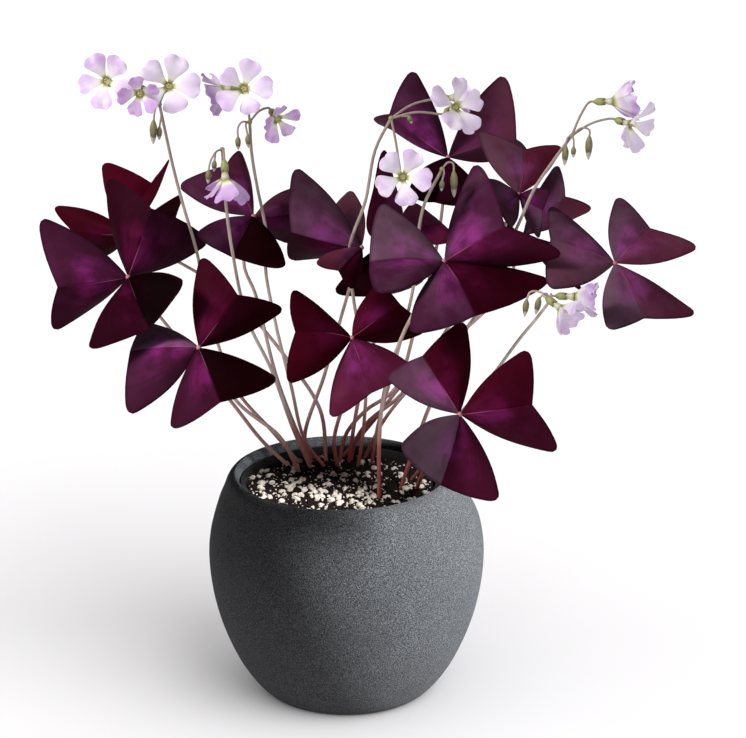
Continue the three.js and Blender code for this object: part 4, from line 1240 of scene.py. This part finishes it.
# %% The liner
LINER_RIM, LINER_WALL, LINER_FOOT = 114, 1.3, 32
LINER_LOW = POT_FLOOR + 0.3
LINER_SECTION = [(0, LINER_LOW), (LINER_FOOT - 1, LINER_LOW), (LINER_FOOT, LINER_LOW + 0.8),
                 (LINER_RADIUS, LINER_RIM - 8), (LINER_RADIUS + 2, LINER_RIM - 7),
                 (LINER_RADIUS + 2, LINER_RIM - 0.4), (LINER_RADIUS + 1.5, LINER_RIM),
                 (LINER_RADIUS + 0.3, LINER_RIM), (LINER_RADIUS - 0.1, LINER_RIM - 0.5),
                 (LINER_RADIUS - LINER_WALL, LINER_RIM - 8),
                 (LINER_FOOT - LINER_WALL, LINER_LOW + LINER_WALL), (0, LINER_LOW + LINER_WALL)]


def liner_finish():
    plastic = Finish("grey_plastic", roughness=0.45)
    patch = plastic.grain(120, 3)
    plastic.colour(plastic.ramp(patch, [(0.3, (0.013, 0.013, 0.014)), (0.7, (0.034, 0.037, 0.040))]))
    scuffs = plastic.fibres(700, 3, 0.2)
    plastic.bump(scuffs, 0.08)
    plastic.put(plastic.shader.inputs["Roughness"], plastic.ramp(scuffs, [(0.3, 0.38), (0.7, 0.55)]))
    return plastic.material


corners, faces = turned(LINER_SECTION, ROUND_SIDES, lambda height: MOUTH_SHIFT)
liner_mesh = make_mesh("grey_liner", corners, faces, finishes=[liner_finish()])
place_piece("grey_liner", liner_mesh, "liner", "liner")
print("liner faces:", len(faces))

# %% [markdown]
# ## Soil with perlite
# The soil is a low dome with a crumbly top. Single crumbs and the pale perlite lumps are far too
# many to place by hand, so a third tree scatters them over the dome with a fixed seed. One lump
# has few faces, because hundreds of them are needed.

# %% The dome of soil
RINGS, SIDES = 46, 120
SOIL_EDGE = 47.9
SOIL_WALL = [(47.6, LINER_RIM - 8.5), (30.0, 10.2)]


def crumbly(place):
    """How far the soil stands above its smooth dome, in mm."""
    return 0.9 * noise.noise(place * 0.16) + 0.5 * noise.noise(place * 0.5)


def soil_finish():
    soil = Finish("dark_soil", roughness=0.95, Specular_IOR_Level=0.2)
    patch, crumbs = soil.grain(140, 3), soil.grain(900, 4)
    colour = soil.ramp(crumbs, [(0.3, (0.003, 0.002, 0.002)), (0.6, (0.012, 0.006, 0.005)),
                                (0.8, (0.058, 0.025, 0.019))])
    soil.colour(soil.tint(colour, (0.016, 0.009, 0.008), patch, [(0.4, 0.0), (0.7, 0.5)]))
    soil.bump(crumbs, 0.6)
    return soil.material


SOIL_LOOK = soil_finish()
dome_corners = [Vector((MOUTH_SHIFT, 0, SOIL_TOP + SOIL_CROWN))]
for ring in range(1, RINGS + 1):
    out = SOIL_EDGE * ring / RINGS
    for place in ring_corners(out, 0, MOUTH_SHIFT, SIDES):
        place.z = soil_height(place.x, place.y)
        place.z += crumbly(place) * min(1, (SOIL_EDGE - out) / 3 + 0.2)
        dome_corners.append(place)
dome_faces = cap_faces(RINGS, SIDES)
corners, faces = list(dome_corners), [list(face) for face in dome_faces]
for radius, height in SOIL_WALL:
    corners += ring_corners(radius, height, MOUTH_SHIFT, SIDES)
edge = len(dome_corners) - SIDES
for side in range(SIDES):
    after = (side + 1) % SIDES
    for a in (edge, edge + SIDES):
        faces.append([a + side, a + SIDES + side, a + SIDES + after, a + after])
faces.append([len(corners) - 1 - side for side in range(SIDES)])
soil_mesh = make_mesh("soil_body", corners, outward(corners, faces), finishes=[SOIL_LOOK])
place_piece("soil_body", soil_mesh, "soil", "soil")
print("soil faces:", len(faces))

# %% The tree that scatters crumbs and lumps
FULL_TURN = (6.28, 6.28, 6.28)
DENT_SCALE = 420.0


def scatter_tree():
    lumps = GrowthTree("lumps on soil", "Ground", {
        "Per Square Metre": 60000.0, "Smallest": 0.0006, "Largest": 0.0018, "Unevenness": 0.3,
        "Seed": 1}, "Lumps")
    given = lumps.given
    spread = lumps.add("GeometryNodeDistributePointsOnFaces", {"distribute_method": "RANDOM"},
                       Mesh=given["Ground"], Seed=given["Seed"],
                       Density=lumps.times(given["Per Square Metre"], lumps.kept("share")))
    lump = lumps.add("GeometryNodeMeshIcoSphere", Radius=1.0, Subdivisions=2)
    turn = lumps.add("FunctionNodeRandomValue", {"data_type": "FLOAT_VECTOR"}, Max=FULL_TURN)
    copies = lumps.add("GeometryNodeInstanceOnPoints", Points=spread.outputs["Points"],
                       Instance=lump.outputs["Mesh"], Rotation=turn.outputs["Value"],
                       Scale=lumps.random(given["Smallest"], given["Largest"], given["Seed"]))
    where = lumps.add("GeometryNodeInputPosition").outputs["Position"]
    dent = lumps.add("ShaderNodeTexNoise", Vector=where, Scale=DENT_SCALE, Detail=2.0)
    centred = lumps.add("ShaderNodeVectorMath", {"operation": "SUBTRACT"})
    lumps.put(centred.inputs[0], dent.outputs["Color"])
    lumps.put(centred.inputs[1], (0.5, 0.5, 0.5))
    push = lumps.add("ShaderNodeVectorMath", {"operation": "SCALE"},
                     Vector=centred.outputs["Vector"],
                     Scale=lumps.times(given["Largest"], given["Unevenness"]))
    uneven = lumps.add("GeometryNodeSetPosition", Offset=push.outputs["Vector"],
                       Geometry=lumps.real(copies.outputs["Instances"]))
    return lumps.end(uneven.outputs["Geometry"])


SCATTER_TREE = scatter_tree()

# %% Scatter the crumbs and the perlite


def everywhere(x, y):
    return 1.0


def most_in_front(x, y):
    """The perlite has been washed to the front and to the left, and lies in clumps."""
    clump = min(1, max(0.1, 0.75 + 2.5 * noise.noise(Vector((x, y, 7)) / 7)))
    behind = min(1, max(0, (y - 4) / 14))
    right = min(1, max(0, (x - 14) / 16))
    left = min(1, max(0, (-22 - x) / 10))
    return clump * max(1 - 0.75 * behind - 0.5 * right, 0.75 * left, 0.3)


def dome(name, share_at):
    """The soil's top, with a share on each corner that says how thickly lumps lie there."""
    mesh = make_mesh(name, dome_corners, [face for face in dome_faces if max(face) < edge])
    shares = [share_at(place.x, place.y) for place in dome_corners]
    mesh.attributes.new("share", "FLOAT", "POINT").data.foreach_set("value", shares)
    return mesh


PERLITE = speckled("perlite", 0.9, (600, 3), [(0.3, (0.40, 0.32, 0.25)), (0.5, (0.74, 0.69, 0.60)),
                                              (0.7, (0.90, 0.88, 0.84))], (2200, 3, 0.3))
for name, look, share_at, density, small, large, uneven, seed in (
        ("soil_crumbs", SOIL_LOOK, everywhere, 120000.0, 0.0004, 0.0014, 1.1, 3),
        ("perlite_lumps", PERLITE, most_in_front, 70000.0, 0.0008, 0.0020, 1.0, 8),
        ("perlite_crumbs", PERLITE, most_in_front, 230000.0, 0.0002, 0.0006, 0.4, 5)):
    lumps = grown(name, dome(name, share_at), SCATTER_TREE, {
        "Per Square Metre": density, "Smallest": small, "Largest": large, "Unevenness": uneven,
        "Seed": seed, "Finish": look})
    place_piece(name, lumps, "soil")
    print(name, "faces:", len(lumps.polygons))

# %% [markdown]
# ## Floor and light
# The plant stands on a wide, flat sheet of pale paper with a white wall behind it. Dark blades,
# airy petals and a stone pot want different light: one lamp for all of them makes the petals glare
# or the blades sink into black. So each lamp shines on some of the pieces only. Soft light from
# the upper left models the folded leaflets, a milder pair keeps petals and stems light, light from
# the right shows the grain of the pot, and light from the front reaches the soil. The wall looks
# white to the camera and adds only a faint light of its own.

# %% The paper
PAPER = speckled("pale_paper", 0.9, (3, 3), [(0.3, (0.86, 0.85, 0.86)), (0.7, (0.90, 0.89, 0.90))],
                 Specular_IOR_Level=0.1)
corners = [Vector(place) for place in ((-3000, -2500, 0), (3000, -2500, 0), (3000, 5000, 0),
                                       (-3000, 5000, 0))]
floor = bpy.data.objects.new("paper", make_mesh("paper", corners, [[0, 1, 2, 3]], finishes=[PAPER]))
bpy.context.scene.collection.objects.link(floor)
floor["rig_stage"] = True

# %% The lamps


def receivers(name, slots, *others):
    """The pieces that a light shines on: those with one of the slots, and any others."""
    group = bpy.data.collections.new(name)
    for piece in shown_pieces():
        if piece.get("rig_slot") in slots:
            group.objects.link(piece)
    for piece in others:
        group.objects.link(piece)
    return group


def light(name, kind, place, aim, strength, colour, size, shines_on):
    lamp = bpy.data.lights.new(name, kind)
    lamp.energy = strength
    lamp.color = colour
    if kind == "SUN":
        lamp.angle = math.radians(size)
    else:
        lamp.shape = "DISK"
        lamp.size = size
    holder = bpy.data.objects.new(name, lamp)
    holder.location = place
    holder.rotation_mode = "QUATERNION"
    holder.rotation_quaternion = (Vector(aim) - Vector(place)).to_track_quat("-Z", "Y")
    holder.light_linking.receiver_collection = shines_on
    bpy.context.scene.collection.objects.link(holder)


blades = receivers("lit_by_the_window", ("blade",))
petals = receivers("lit_evenly", ("petals", "leaf_stalk", "flower_stalk"))
pot_only = receivers("lit_from_the_right", ("pot",))
inside = receivers("lit_from_the_front", ("soil", "liner"))
ground = receivers("lit_on_the_floor", (), floor)
light("window", "AREA", (-1.2, -0.7, 1.3), (0, 0, 0.22), 44, (1, 0.98, 0.97), 0.5, blades)
light("right_side", "SUN", (0.95, -0.27, 0.5), (0, 0, 0), 16, (0.93, 0.98, 1), 20, pot_only)
light("front_right", "SUN", (0.5, -0.6, 1.0), (0, 0, 0), 6, (1, 0.97, 0.95), 20, inside)
light("petal_side", "AREA", (-1.2, -0.7, 1.3), (0, 0, 0.22), 24, (1, 0.98, 0.98), 0.5, petals)
light("petal_even", "SUN", (0.3, -0.9, 0.6), (0, 0, 0), 1.9, (1, 0.98, 1), 150, petals)
light("plant_even", "SUN", (-0.1, -0.8, 0.8), (0, 0, 0), 1.05, (1, 0.98, 1), 170, blades)
light("floor_side", "SUN", (0.75, -0.7, 0.8), (0, 0, 0), 2.1, (1, 1, 1), 60, ground)
light("floor_even", "SUN", (0.2, -0.3, 1), (0, 0, 0), 2.5, (1, 1, 1), 150, ground)

# %% The white wall
FAINT_GLOW, WHITE_WALL = 0.08, 1.2
world = bpy.data.worlds.new("room")
world.use_nodes = True
room = Network()
room.tree = world.node_tree
backdrop = room.tree.nodes["Background"]
ray = room.add("ShaderNodeLightPath").outputs["Is Camera Ray"]
power = room.add("ShaderNodeMapRange", Value=ray, To_Min=FAINT_GLOW, To_Max=WHITE_WALL)
room.put(backdrop.inputs["Color"], (1, 0.95, 0.97, 1))
room.put(backdrop.inputs["Strength"], power.outputs["Result"])
bpy.context.scene.world = world
bpy.context.scene.view_settings.view_transform = "Standard"
